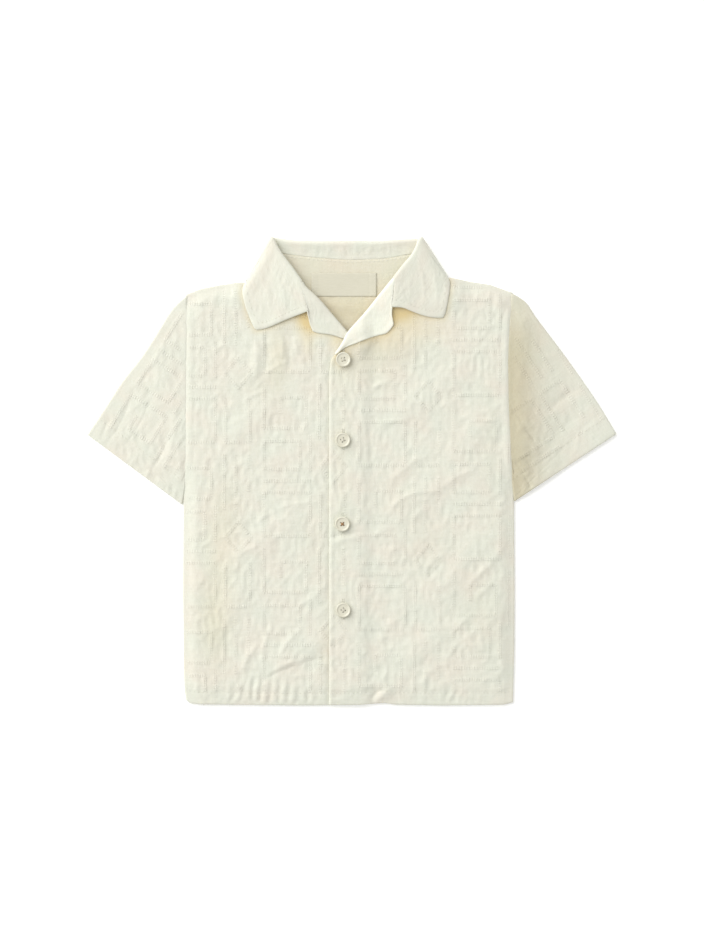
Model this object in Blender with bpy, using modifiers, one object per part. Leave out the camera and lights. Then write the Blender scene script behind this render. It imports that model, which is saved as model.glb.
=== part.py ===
"""A child's camp collar shirt, buttoned and laid flat on its back.

Metres, +Z up. The origin is under the middle of the shirt, on the surface it lies on; the collar
points to +Y and the wearer's right side is at -X. Each piece is one layer of cloth with a real
wall, made as the middle surface of the cloth and thickened by Solidify.
"""
import math

import bmesh
import bpy
import numpy as np

# the cloth
WALL = 0.0012
HALF = WALL / 2
GAP = 0.0003
STEP = WALL + GAP

# how far the front stands off the back
LOFT = 0.0021
SIDE_ROUND = 0.011
HEM_ROUND = 0.016
HEM_LOFT = 0.35
SHOULDER_ROUND = 0.012
NECK_ROUND = 0.010
ARMHOLE_LOFT = 0.75
ARMHOLE_FOOT_Y = (-0.020, 0.015)
ARMHOLE_TOP_Y = (0.136, 0.114)
FOLDS_START = 0.012

# the front opening: the left front laps over the right
PLACKET_X = -0.0177
UNDERLAP_X = 0.0032
EDGE_TO_BREAK = {
    "right": [(0.0032, 0.0600), (0.0032, 0.0900)],
    "left": [(-0.0177, 0.0500), (-0.0177, 0.0700), (-0.0172, 0.0800), (-0.0158, 0.0870)],
}
SIDE_SPLIT_Y = 0.0680
LAP_LEVEL_X = 0.0062
LAP_END_X = 0.0170

# the body's outline, each line from the hem up or from the wearer's right to left
SIDE = {
    "right": [
        (-0.1288, -0.1788), (-0.1300, -0.1500), (-0.1311, -0.0900), (-0.1313, -0.0300),
        (-0.1310, 0.0300), (-0.1303, 0.0900), (-0.1297, 0.1369),
    ],
    "left": [
        (0.1262, -0.1806), (0.1280, -0.1400), (0.1285, -0.0900), (0.1268, -0.0230),
        (0.1251, 0.0130), (0.1233, 0.0490), (0.1227, 0.0850), (0.1248, 0.1385),
    ],
}
HEM = [
    (-0.1288, -0.1788), (-0.1262, -0.1812), (-0.1180, -0.1820), (-0.0900, -0.1823),
    (-0.0400, -0.1828), (0.0050, -0.1824), (0.0200, -0.1812), (0.0260, -0.1810),
    (0.0340, -0.1822), (0.0700, -0.1828), (0.1180, -0.1822), (0.1262, -0.1806),
]
SHOULDER = {
    "right": [
        (-0.1297, 0.1369), (-0.1190, 0.1412), (-0.1055, 0.1440), (-0.0920, 0.1461),
        (-0.0865, 0.1465), (-0.0832, 0.1463), (-0.0806, 0.1456), (-0.0797, 0.1476),
        (-0.0615, 0.1692),
    ],
    "left": [
        (0.1248, 0.1385), (0.1197, 0.1402), (0.1078, 0.1445), (0.0923, 0.1469),
        (0.0800, 0.1495), (0.0760, 0.1502), (0.0733, 0.1498), (0.0715, 0.1492),
        (0.0707, 0.1512), (0.0517, 0.1692),
    ],
}
SHOULDER_TURNS = {"right": (4, 7), "left": (5, 8)}
BACK_NECK = [
    (-0.0615, 0.1695), (-0.0545, 0.1696), (-0.0378, 0.1674), (-0.0139, 0.1653), (0.0021, 0.1647),
    (0.0250, 0.1658), (0.0440, 0.1688), (0.0517, 0.1695),
]
NECK_MIDDLE = (-0.0050, 0.1500)

# the lapels: the roll as it shows from above, from the break up, and the free edge
LAPEL_ROLL = {
    "right": [
        (0.0032, 0.1013), (-0.0037, 0.1086), (-0.0139, 0.1205), (-0.0258, 0.1342),
        (-0.0348, 0.1426), (-0.0385, 0.1475),
    ],
    "left": [
        (-0.0138, 0.0915), (-0.0102, 0.0965), (-0.0072, 0.1015), (-0.0035, 0.1085),
        (0.0092, 0.1229), (0.0211, 0.1378), (0.0313, 0.1504),
    ],
}
LAPEL_EDGE = {
    "right": [
        [(0.0008, 0.1003), (-0.0080, 0.1035), (-0.0168, 0.1062), (-0.0258, 0.1074),
         (-0.0305, 0.1088)],
        [(-0.0305, 0.1088), (-0.0327, 0.1140), (-0.0342, 0.1205), (-0.0344, 0.1244)],
    ],
    "left": [
        [(-0.0112, 0.0913), (-0.0062, 0.0958), (0.0033, 0.0996), (0.0122, 0.1032),
         (0.0200, 0.1056), (0.0265, 0.1074), (0.0301, 0.1109)],
        [(0.0301, 0.1109), (0.0319, 0.1145), (0.0307, 0.1205), (0.0308, 0.1278)],
    ],
}
LAPEL_CORNER_ROW = {"right": 6, "left": 7}
LAPEL_TURN = {"right": (0.0009, 0.0019), "left": (0.0009, 0.0019)}

# the collar: its roll at the front, its corner over the shoulder and its free edge
LEAF_ROLL = {
    "right": [(-0.0385, 0.1475), (-0.0402, 0.1502), (-0.0467, 0.1593), (-0.0557, 0.1712)],
    "left": [(0.0313, 0.1504), (0.0391, 0.1605), (0.0468, 0.1700)],
}
LEAF_EDGE = {
    "right": [
        [(-0.0348, 0.1244), (-0.0497, 0.1187), (-0.0658, 0.1118), (-0.0745, 0.1100)],
        [(-0.0745, 0.1100), (-0.0766, 0.1122), (-0.0819, 0.1247), (-0.0849, 0.1354),
         (-0.0852, 0.1426)],
    ],
    "left": [
        [(0.0313, 0.1278), (0.0397, 0.1271), (0.0480, 0.1238), (0.0570, 0.1208), (0.0647, 0.1195),
         (0.0707, 0.1195)],
        [(0.0707, 0.1195), (0.0725, 0.1235), (0.0743, 0.1324), (0.0755, 0.1402), (0.0758, 0.1474)],
    ],
}
LEAF_TOP = {"right": (-0.0644, 0.1835), "left": (0.0546, 0.1829)}
LEAF_OVER = {"right": (-0.0838, 0.1478), "left": (0.0746, 0.1518)}
NECK_POINT = {"right": (-0.0615, 0.1695), "left": (0.0517, 0.1695)}
BACK_ROLL = [
    (-0.0467, 0.1805), (-0.0300, 0.1798), (0.0020, 0.1796), (0.0182, 0.1794), (0.0361, 0.1808),
]
BACK_FALL_EDGE = [
    (-0.0700, 0.1452), (-0.0400, 0.1428), (-0.0050, 0.1420), (0.0300, 0.1432), (0.0600, 0.1465),
]
NOTCH_LIFT = 0.0022
FLATTEN = 1.4
GORGE_BOW = {"right": 0.0010, "left": -0.0006}
GORGE_GAP = {"right": 0.0007, "left": 0.00035}
SEAM_GAP = 0.0005
STAND_TUCK = 0.0026
TURN_TOP = 0.0017
TURN_BACK = 0.0026
BACK_SWELL = 0.7
STAND_OPEN = 0.0010
CREASE_OUT_FALL = 0.65
CREASE_OUT_STAND = 1.0

# the back rises over the part of the collar that lies under it
BACK_RISE_Y = (0.1180, 0.1335)
BACK_RISE_X = {"right": (-0.1010, -0.0870), "left": (0.0930, 0.0780)}

# the left front rises over the right lapel where the two cross
CROSS = ((-0.0075, 0.1040), (0.0025, 0.1022))
CROSS_HEIGHT = 0.0022
CROSS_FLAT = 0.0070
CROSS_END = 0.0175

# sleeves: the outline from shoulder tip to cuff, then the two cuff corners and the underarm
SLEEVE_OUTER = {
    "right": [
        (-0.1301, 0.1366), (-0.1377, 0.1296), (-0.1427, 0.1234), (-0.1626, 0.0916),
        (-0.1813, 0.0693), (-0.1962, 0.0445), (-0.2056, 0.0285),
    ],
    "left": [
        (0.1252, 0.1382), (0.1305, 0.1343), (0.1388, 0.1265), (0.1460, 0.1152), (0.1640, 0.0913),
        (0.1818, 0.0644), (0.1938, 0.0466), (0.2060, 0.0285),
    ],
}
ARMPIT = {"right": (-0.1317, -0.0120), "left": (0.1272, -0.0080)}
CUFF_INNER = {"right": (-0.1342, -0.0262), "left": (0.1275, -0.0235)}
CUFF_TOP = 0.0030
SLEEVE_EDGE_TOP = 0.0029
SLEEVE_CROWN = 0.0006
SLEEVE_INSET = 0.0010
SLEEVE_BULGE = 0.9
# shares of a ring's width over which its ends, its crown, its cuff and its folds fade
RING_END = 0.06
CROWN_FADE = 0.2
CUFF_FADE = 0.1
FOLD_FADE = 0.15

# buttons: 18 ligne, four holes
BUTTONS = [(-0.0070, 0.0866), (-0.0073, 0.0238), (-0.0077, -0.0417), (-0.0070, -0.1088)]
BUTTON_RADIUS = 0.0057
BUTTON_THICK = 0.0024
BUTTON_DISH = 0.0007
BUTTON_RIM = 0.0013
BUTTON_SIDES = 20
HOLE_RADIUS = 0.00075
HOLE_OFFSET = 0.0014
HOLE_SIDES = 8

# the label in the back neck
LABEL_CENTRE = (-0.0065, 0.1450)
LABEL_SIZE = (0.0506, 0.0179, 0.0010)

# the largest folds of the front: middle, length along, width across, height, angle in degrees
FOLDS = [
    # name, x, y, length, width, height, angle
    ("under the right leaf", -0.0560, 0.0960, 0.060, 0.0070, 0.0014, 96),
    ("beside it", -0.0740, 0.0880, 0.050, 0.0070, 0.0011, 84),
    ("below the right lapel", -0.0380, 0.0880, 0.044, 0.0065, 0.0011, 78),
    ("right chest slant", -0.0760, 0.0400, 0.070, 0.0095, 0.0013, 40),
    ("right waist slant", -0.0700, -0.0560, 0.096, 0.0100, 0.0014, 42),
    ("right low slant", -0.0960, -0.1080, 0.070, 0.0095, 0.0013, 58),
    ("above the hem", -0.0440, -0.1420, 0.072, 0.0090, 0.0015, 24),
    ("gather one", -0.0890, -0.1680, 0.040, 0.0045, 0.0014, 95),
    ("gather two", -0.0757, -0.1670, 0.042, 0.0045, 0.0015, 92),
    ("gather three", -0.0624, -0.1680, 0.038, 0.0045, 0.0014, 89),
    ("gather four", -0.0491, -0.1690, 0.034, 0.0045, 0.0012, 86),
    ("left chest slant", 0.0620, 0.0620, 0.088, 0.0100, 0.0014, 35),
    ("left breast slant", 0.0940, 0.0260, 0.076, 0.0095, 0.0012, 48),
    ("left waist slant", 0.0560, -0.0180, 0.080, 0.0100, 0.0013, 38),
    ("left belly slant", 0.0840, -0.0760, 0.092, 0.0100, 0.0015, 46),
    ("left low slant", 0.1020, -0.1240, 0.064, 0.0090, 0.0013, 56),
    ("left hem slant", 0.0560, -0.1360, 0.068, 0.0095, 0.0014, 40),
    ("hem crumple", 0.0250, -0.1680, 0.026, 0.0070, 0.0014, 110),
]

# the largest folds of the sleeves, which run from the armhole to the cuff
SLEEVE_FOLDS = {
    "right": [
        ("near the outer fold", -0.1720, 0.0620, 0.070, 0.0060, 0.0009, 58),
        ("middle", -0.1610, 0.0340, 0.066, 0.0060, 0.0010, 62),
        ("near the underarm", -0.1450, 0.0120, 0.050, 0.0060, 0.0008, 76),
    ],
    "left": [
        ("from the armhole", 0.1560, 0.0520, 0.062, 0.0060, 0.0009, -152),
        ("from the armpit, long", 0.1440, 0.0180, 0.040, 0.0050, 0.0010, -42),
        ("from the armpit, short", 0.1380, 0.0020, 0.026, 0.0045, 0.0009, -50),
    ],
}

# how finely each piece is divided
FRONT_COLUMNS = 20
ROWS_TO_BREAK = 28
ROWS_ALONG_ROLL = 10
ROWS_ALONG_NECK = 4
NECK_COLUMNS = 4
BACK_SHOULDER_COLUMNS = 6
BACK_NECK_COLUMNS = 2
BACK_ROWS = 16
LAPEL_STEPS = 5
TURN_ANGLES = (45, 90, 135, 180)
STAND_STEPS = 2
LEAF_ROWS = 8
LEAF_CORNER_ROW = 5
CREASE_ANGLES = (25, 50, 90, 130, 155)
BACK_STATIONS = 10
SLEEVE_ROWS = 10
SLEEVE_TOP_STEPS = 11
SLEEVE_BOTTOM_STEPS = 6

COLOURS = {
    "cloth": (0.80, 0.79, 0.68, 1.0),
    "label": (0.78, 0.75, 0.62, 1.0),
    "button": (0.82, 0.80, 0.70, 1.0),
}


def soft(t):
    """A smooth step from 0 to 1."""
    t = np.clip(t, 0.0, 1.0)
    return t * t * (3 - 2 * t)


def ramp(v, ends):
    """A smooth step from 0 at the first end to 1 at the second."""
    return soft((v - ends[0]) / (ends[1] - ends[0]))


def unit(v):
    v = np.asarray(v, float)
    return v / np.linalg.norm(v)


def mix(a, b, t):
    return np.asarray(a, float) * (1 - t) + np.asarray(b, float) * t


def spline(points, fine=24):
    """A dense smooth line through the points."""
    p = [np.asarray(q, float) for q in points]
    p = [2 * p[0] - p[1]] + p + [2 * p[-1] - p[-2]]
    line = []
    for i in range(1, len(p) - 2):
        a, b, c, d = p[i - 1:i + 3]
        for t in np.linspace(0, 1, fine, endpoint=False):
            line.append(0.5 * (2 * b + (c - a) * t + (2 * a - 5 * b + 4 * c - d) * t ** 2
                               + (3 * b - a - 3 * c + d) * t ** 3))
    line.append(p[-2])
    return np.array(line)


def spaced(line, count):
    """count points, evenly spaced along a line."""
    line = np.asarray(line, float)
    steps = np.linalg.norm(np.diff(line, axis=0), axis=1)
    far = np.concatenate([[0], np.cumsum(steps)])
    at = np.linspace(0, far[-1], count)
    return np.stack([np.interp(at, far, line[:, k]) for k in range(line.shape[1])], axis=1)


def trace(points, count):
    return spaced(spline(points), count)


def edge_x(side, y):
    table = np.array(SIDE[side])
    return np.interp(y, table[:, 1], table[:, 0])


def hem_y(x):
    table = np.array(HEM)
    return np.interp(x, table[:, 0], table[:, 1])


def shoulder_points(side, before, after):
    """The shoulder from the tip to the neck; the small turns under the collar keep their points."""
    table = SHOULDER[side]
    start = spaced(table[:SHOULDER_TURNS[side][0] + 1], before + 1)
    middle = np.array(table[SHOULDER_TURNS[side][0] + 1:SHOULDER_TURNS[side][1]])
    end = spaced(table[SHOULDER_TURNS[side][1]:], after + 1)
    return np.concatenate([start, middle, end])


def top_outline():
    return SHOULDER["right"] + BACK_NECK[1:-1] + SHOULDER["left"][::-1]


def shoulder_y(x):
    table = np.array(top_outline())
    return np.interp(x, table[:, 0], table[:, 1])


def fold_height(folds, x, y):
    """Soft ridges, each with its own length, width and height."""
    total = np.zeros_like(np.asarray(x, float))
    for _name, fx, fy, length, width, height, angle in folds:
        c, s = math.cos(math.radians(angle)), math.sin(math.radians(angle))
        along = (x - fx) * c + (y - fy) * s
        across = (y - fy) * c - (x - fx) * s
        ends = soft((0.5 * length - np.abs(along)) / (0.3 * length))
        total = total + height * ends * np.exp(-(across / width) ** 2)
    return total


def back_mid(x, y):
    """Middle of the back's cloth: on the floor, but raised over the collar's fall."""
    x, y = np.asarray(x, float), np.asarray(y, float)
    rise = ramp(y, BACK_RISE_Y) * ramp(x, BACK_RISE_X["right"]) * ramp(x, BACK_RISE_X["left"])
    return HALF + STEP * rise


def right_mid(x, y):
    """Middle of the front's cloth, without what it lies over at the placket."""
    x, y = np.asarray(x, float), np.asarray(y, float)
    from_side = np.minimum(x - edge_x("right", y), edge_x("left", y) - x)
    armhole = ARMHOLE_LOFT * ramp(y, ARMHOLE_FOOT_Y) * ramp(y, ARMHOLE_TOP_Y)
    side = np.maximum(soft(from_side / SIDE_ROUND), armhole)
    hem = HEM_LOFT + (1 - HEM_LOFT) * soft((y - hem_y(x)) / HEM_ROUND)
    top = soft((shoulder_y(x) - y) / SHOULDER_ROUND)
    past_right = soft((x - SHOULDER["right"][-1][0]) / NECK_ROUND)
    past_left = soft((SHOULDER["left"][-1][0] - x) / NECK_ROUND)
    top = np.maximum(top, past_right * past_left)
    calm = soft(from_side / FOLDS_START) * top
    return back_mid(x, y) + STEP + LOFT * side * hem * top + fold_height(FOLDS, x, y) * calm


def from_segment(a, b, x, y):
    a, b = np.array(a), np.array(b)
    d = b - a
    t = np.clip(((x - a[0]) * d[0] + (y - a[1]) * d[1]) / (d @ d), 0, 1)
    return np.hypot(x - a[0] - t * d[0], y - a[1] - t * d[1])


def left_mid(x, y):
    """The left front: a step up where it laps over the right front and its lapel."""
    x, y = np.asarray(x, float), np.asarray(y, float)
    lap = ramp(x, (LAP_END_X, LAP_LEVEL_X))
    cross = ramp(from_segment(*CROSS, x, y), (CROSS_END, CROSS_FLAT))
    return right_mid(x, y) + STEP * lap + CROSS_HEIGHT * cross


MID = {"right": right_mid, "left": left_mid}


def object_from(name, verts, faces, collection, colour, roughness):
    mesh = bpy.data.meshes.new(name)
    mesh.from_pydata([tuple(float(c) for c in v) for v in verts], [], faces)
    mesh.validate()
    obj = bpy.data.objects.new(name, mesh)
    collection.objects.link(obj)
    paint(obj, colour, roughness)
    return obj


def paint(obj, colour, roughness):
    name = obj.name + "_material"
    material = bpy.data.materials.new(name)
    material.use_nodes = True
    shader = material.node_tree.nodes["Principled BSDF"]
    shader.inputs["Base Color"].default_value = COLOURS[colour]
    shader.inputs["Roughness"].default_value = roughness
    shader.inputs["Metallic"].default_value = 0.0
    obj.data.materials.clear()
    obj.data.materials.append(material)


def thicken(obj, wall=WALL):
    bm = bmesh.new()
    bm.from_mesh(obj.data)
    bmesh.ops.recalc_face_normals(bm, faces=bm.faces)
    bm.to_mesh(obj.data)
    bm.free()
    obj.data.shade_smooth()
    solid = obj.modifiers.new("Wall", "SOLIDIFY")
    solid.thickness = wall
    solid.offset = 0.0
    solid.use_even_offset = False
    solid.use_rim = True
    return obj


def grid_faces(rows, columns, index):
    """Quads of a grid whose points are numbered by index(row, column)."""
    return [
        (index(j, i), index(j, i + 1), index(j + 1, i + 1), index(j + 1, i))
        for j in range(rows) for i in range(columns)
    ]


def outward(line, toward):
    """Unit normals of a plan line, on the side of the point toward."""
    line = np.asarray(line, float)
    along = np.gradient(line, axis=0)
    along /= np.linalg.norm(along, axis=1)[:, None]
    normal = np.stack([along[:, 1], -along[:, 0]], axis=1)
    side = np.sign(((np.asarray(toward) - line) * normal).sum(axis=1))
    return normal * side[:, None]


def lapel_roll(side):
    """Rows along a lapel's roll, from its break: plan of the panel's last point, normal, radius."""
    line = trace(LAPEL_ROLL[side], ROWS_ALONG_ROLL + 1)
    normal = outward(line, NECK_MIDDLE)
    small, large = LAPEL_TURN[side]
    radius = mix(small, large, np.linspace(0, 1, len(line)) ** 0.8)
    base = line - normal * (radius + HALF)[:, None]
    return base, normal, radius


def gorge(side, base, shift):
    """Plan of the seam between lapel and collar, from the roll to the notch."""
    notch = np.array(LAPEL_EDGE[side][1][-1])
    steps = np.linspace(0, 1, LAPEL_STEPS + 1)
    line = np.array([mix(base, notch, t) for t in steps])
    line[:, 0] += GORGE_BOW[side] * np.sin(np.pi * steps)
    away = -1.0 if side == "right" else 1.0
    line[:, 0] += away * shift * GORGE_GAP[side]
    return line


def gorge_heights(side, base, radius):
    """Heights of the seam, shared by the lapel and the collar."""
    line = gorge(side, base, 0)
    steps = np.linspace(0, 1, LAPEL_STEPS + 1)
    contact = MID[side](line[:, 0], line[:, 1]) + STEP
    return contact + (2 * radius - STEP) * (1 - steps) ** FLATTEN + NOTCH_LIFT * steps ** 2


def turn_points(base, level, normal, radius):
    """The half turn of the cloth over a roll, from the lower layer to the upper one."""
    points = []
    for degrees in TURN_ANGLES:
        a = math.radians(degrees)
        plan = np.asarray(base) + np.asarray(normal) * radius * math.sin(a)
        points.append((plan[0], plan[1], level + radius * (1 - math.cos(a))))
    return points


def joined(parts, counts):
    """One line of points from two curves that meet at a corner."""
    first = trace(parts[0], counts[0] + 1)
    second = trace(parts[1], counts[1] + 1)
    return np.concatenate([first, second[1:]])


def stand_foot(side):
    """The neck seam under the collar's leaf, from the gorge to the neck point, in plan."""
    base, normal, _radius = lapel_roll(side)
    start = base[-1] - normal[-1] * STAND_TUCK
    return start, np.array(NECK_POINT[side])


def front(side, collection):
    """A front with its lapel: a panel, and a strip turned over along the roll."""
    mid = MID[side]
    base, normal, radius = lapel_roll(side)
    edge_line = UNDERLAP_X if side == "right" else PLACKET_X
    corner = (edge_line, hem_y(edge_line))
    upper = spline(EDGE_TO_BREAK[side] + [base[0]])
    placket = spaced(np.concatenate([[corner], upper]), ROWS_TO_BREAK + 1)
    start, neck = stand_foot(side)
    along = unit(base[-2] - base[-1])
    foot = start + along * SEAM_GAP
    seam = unit(neck - start)
    out = np.array([-seam[1], seam[0]]) * (1 if side == "right" else -1)
    neck_end = neck + out * SEAM_GAP - seam * GAP
    neckline = spaced([foot + out * SEAM_GAP, neck_end], ROWS_ALONG_NECK + 1)
    roll = base.copy()
    roll[-1] += along * GORGE_GAP[side]
    inner = np.concatenate([placket, roll[1:], neckline])

    rows = len(inner) - 1
    low = spaced(SIDE[side], 200)
    split = np.searchsorted(low[:, 1], SIDE_SPLIT_Y)
    outer = np.concatenate([
        spaced(low[:split + 1], ROWS_TO_BREAK + 1),
        spaced(low[split:], rows - ROWS_TO_BREAK + 1)[1:],
    ])
    hem = spaced(HEM, 400)
    if side == "right":
        hem = hem[hem[:, 0] <= edge_line + 1e-6]
    else:
        hem = hem[hem[:, 0] >= edge_line - 1e-6][::-1]
    hem = spaced(np.concatenate([hem, [corner]]), FRONT_COLUMNS + 1)
    shoulder = shoulder_points(side, FRONT_COLUMNS - NECK_COLUMNS - 3, NECK_COLUMNS)
    shoulder[-1] = neckline[-1]

    plan = np.zeros((rows + 1, FRONT_COLUMNS + 1, 2))
    heights = (outer[:, 1] - outer[0, 1]) / (outer[-1, 1] - outer[0, 1])
    for j, v in enumerate(heights):
        for i in range(FRONT_COLUMNS + 1):
            u = i / FRONT_COLUMNS
            bilinear = mix(mix(hem[0], hem[-1], u), mix(shoulder[0], shoulder[-1], u), v)
            plan[j, i] = mix(outer[j], inner[j], u) + mix(hem[i], shoulder[i], v) - bilinear
    z = mid(plan[:, :, 0], plan[:, :, 1])
    verts = np.dstack([plan, z]).reshape(-1, 3).tolist()

    def number(j, i):
        return j * (FRONT_COLUMNS + 1) + i

    faces = grid_faces(rows, FRONT_COLUMNS, number)

    edge = joined(LAPEL_EDGE[side], (LAPEL_CORNER_ROW[side], ROWS_ALONG_ROLL - LAPEL_CORNER_ROW[side]))
    strip = []
    for k in range(ROWS_ALONG_ROLL + 1):
        panel = number(ROWS_TO_BREAK + k, FRONT_COLUMNS)
        level = verts[panel][2]
        place = np.array(verts[panel][:2])
        points = turn_points(place, level, normal[k], radius[k])
        if k == ROWS_ALONG_ROLL:
            line = gorge(side, base[-1], -1)
            line[0] = place
            tops = gorge_heights(side, base[-1], radius[k])
        else:
            line = np.array([mix(place, edge[k], t) for t in np.linspace(0, 1, LAPEL_STEPS + 1)])
            steps = np.linspace(0, 1, LAPEL_STEPS + 1)
            fade = (1 - steps) ** FLATTEN
            notch = NOTCH_LIFT * steps ** 2 * soft((k - 0.6 * ROWS_ALONG_ROLL) / (0.4 * ROWS_ALONG_ROLL))
            tops = mid(line[:, 0], line[:, 1]) + STEP + (2 * radius[k] - STEP) * fade + notch
        points += [(x, y, h) for (x, y), h in zip(line[1:], tops[1:])]
        first = len(verts)
        verts.extend(points)
        strip.append([panel] + list(range(first, first + len(points))))
    columns = len(strip[0]) - 1
    faces += grid_faces(ROWS_ALONG_ROLL, columns, lambda j, i: strip[j][i])
    return thicken(object_from("front_" + side, verts, faces, collection, "cloth", 0.9))


def neck_stations():
    """The back neck seam, one point for each station of the collar."""
    foot = trace(BACK_NECK, BACK_STATIONS + 1)
    foot[0], foot[-1] = NECK_POINT["right"], NECK_POINT["left"]
    return foot


def back(collection):
    """The back panel: columns from the hem to the shoulders and the neck seam."""
    right_shoulder = shoulder_points("right", BACK_SHOULDER_COLUMNS, BACK_NECK_COLUMNS)
    left_shoulder = shoulder_points("left", BACK_SHOULDER_COLUMNS, BACK_NECK_COLUMNS)
    neck = neck_stations() - (0.0, SEAM_GAP)
    upper = np.concatenate([right_shoulder[:-1], neck, left_shoulder[-2::-1]])
    columns = len(upper) - 1
    hem = spaced(HEM, columns + 1)
    left, right = spaced(SIDE["right"], BACK_ROWS + 1), spaced(SIDE["left"], BACK_ROWS + 1)
    plan = np.zeros((BACK_ROWS + 1, columns + 1, 2))
    for j in range(BACK_ROWS + 1):
        v = j / BACK_ROWS
        for i in range(columns + 1):
            u = i / columns
            bilinear = mix(mix(hem[0], hem[-1], u), mix(upper[0], upper[-1], u), v)
            plan[j, i] = mix(left[j], right[j], u) + mix(hem[i], upper[i], v) - bilinear
    z = back_mid(plan[:, :, 0], plan[:, :, 1])
    verts = np.dstack([plan, z]).reshape(-1, 3).tolist()
    faces = grid_faces(BACK_ROWS, columns, lambda j, i: j * (columns + 1) + i)
    return thicken(object_from("back", verts, faces, collection, "cloth", 0.9))


def collar_row(foot, foot_z, base, stand_z, normal, radius, fall, fall_z):
    """One station of the collar: stand, turn and fall. radius below 0 turns the fall under."""
    row = []
    for t in np.linspace(0, 1, STAND_STEPS + 1):
        x, y = mix(foot, base, t)
        row.append((x, y, mix(foot_z, stand_z, t ** 1.5)))
    for degrees in TURN_ANGLES:
        a = math.radians(degrees)
        x, y = np.asarray(base) + np.asarray(normal) * abs(radius) * math.sin(a)
        row.append((x, y, stand_z + radius * (1 - math.cos(a))))
    for (x, y), z in zip(fall[1:], fall_z[1:]):
        row.append((x, y, z))
    return row


def leaf_frame(side):
    """The collar's corner over the shoulder: plan of its points, with outward and upward normals."""
    top, over = np.array(LEAF_TOP[side]), np.array(LEAF_OVER[side])
    up = unit(top - over)
    out = np.array([-up[1], up[0]]) * (1 if side == "right" else -1)
    front_fall = HALF + 2 * (TURN_TOP + STAND_OPEN + TURN_TOP)
    half_top = (front_fall - HALF) / 2
    half_over = 1.5 * STEP
    base = top - out * (half_top * CREASE_OUT_FALL + HALF) - up * (TURN_TOP + HALF)
    foot = over - out * (half_over * CREASE_OUT_FALL + HALF)
    return base, foot, out, up, front_fall


def leaf_rows(side):
    """Stations of the collar's front leaf, from the gorge to the corner over the shoulder."""
    mid = MID[side]
    roll_base, roll_normal, roll_radius = lapel_roll(side)
    base_top, base_over, _out, up, front_fall = leaf_frame(side)
    start, neck = stand_foot(side)
    outline = trace(LEAF_ROLL[side] + [tuple(base_top + up * (TURN_TOP + HALF))], LEAF_ROWS + 1)
    normal = outward(outline, NECK_MIDDLE)
    normal[0] = roll_normal[-1]
    edge = joined(
        [LEAF_EDGE[side][0], LEAF_EDGE[side][1] + [tuple(base_over)]],
        (LEAF_CORNER_ROW, LEAF_ROWS - LEAF_CORNER_ROW),
    )
    steps = np.linspace(0, 1, LAPEL_STEPS + 1)
    rows = []
    for k in range(LEAF_ROWS + 1):
        t = k / LEAF_ROWS
        radius = mix(roll_radius[-1], TURN_TOP, t)
        turn = unit(mix(normal[k], up, t ** 2))
        base = outline[k] - turn * (radius + HALF)
        if k == LEAF_ROWS:
            base = base_top
        if k == 0:
            base = roll_base[-1] - unit(roll_base[-2] - roll_base[-1]) * GORGE_GAP[side]
        foot = mix(start, neck, t)
        foot_z = mix(mid(*start), HALF + 2 * STEP, soft(t))
        stand_z = mix(mid(*roll_base[-1]), front_fall - 2 * TURN_TOP, soft(t))
        if k == 0:
            fall = gorge(side, roll_base[-1], 1)
            fall_z = gorge_heights(side, roll_base[-1], radius)
        else:
            fall = np.array([mix(base, edge[k], s) for s in steps])
            contact = mid(fall[:, 0], fall[:, 1]) + STEP
            lift = NOTCH_LIFT * max(0.0, 1 - k / LEAF_CORNER_ROW) ** 1.3
            edge_z = contact[-1] + lift
            if k == LEAF_ROWS:
                edge_z = HALF + 3 * STEP
            power = mix(FLATTEN, 1.0, t)
            fall_z = edge_z + (stand_z + 2 * radius - edge_z) * (1 - steps) ** power
            if k < LEAF_ROWS:
                fall_z = np.maximum(fall_z, contact)
        rows.append(collar_row(foot, foot_z, base, stand_z, turn, radius, fall, fall_z))
    return rows


def back_rows():
    """Stations across the back: the fall lies on the floor, under the back panel."""
    base_r, over_r, _o, up_r, _f = leaf_frame("right")
    base_l, over_l, _o, up_l, _f = leaf_frame("left")
    foot = neck_stations()
    roll_points = [(x, y - TURN_BACK - HALF) for x, y in BACK_ROLL]
    roll = trace([tuple(base_r)] + roll_points + [tuple(base_l)], BACK_STATIONS + 1)
    edge = trace([tuple(over_r)] + BACK_FALL_EDGE + [tuple(over_l)], BACK_STATIONS + 1)
    rows = []
    for k in range(BACK_STATIONS + 1):
        t = k / BACK_STATIONS
        radius = mix(TURN_TOP, TURN_BACK, math.sin(math.pi * t) ** BACK_SWELL)
        lean = unit(mix(mix(up_r, (0, 1), soft(3 * t)), up_l, soft(3 * t - 2)))
        base = roll[k]
        stand_z = HALF + 2 * radius
        fall = np.array([mix(base, edge[k], s) for s in np.linspace(0, 1, LAPEL_STEPS + 1)])
        fall_z = np.full(LAPEL_STEPS + 1, HALF)
        rows.append(collar_row(foot[k], HALF + STEP, base, stand_z, lean, -radius, fall, fall_z))
    return rows


def crease_rows(top_row, bottom_row, out):
    """The collar bends round the shoulder: arcs from its front layer to its back layer."""
    count = len(top_row)
    turn_end = STAND_STEPS + len(TURN_ANGLES)
    rows = []
    for degrees in CREASE_ANGLES:
        a = math.radians(degrees)
        row = []
        for i in range(count):
            t, b = np.array(top_row[i]), np.array(bottom_row[i])
            half = (t[2] - b[2]) / 2
            share = np.clip((i - STAND_STEPS) / (turn_end - STAND_STEPS), 0, 1)
            reach = half * mix(CREASE_OUT_STAND, CREASE_OUT_FALL, share)
            plan = mix(t[:2], b[:2], soft(degrees / 180)) + out * reach * math.sin(a)
            row.append((plan[0], plan[1], (t[2] + b[2]) / 2 + half * math.cos(a)))
        rows.append(row)
    return rows


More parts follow.
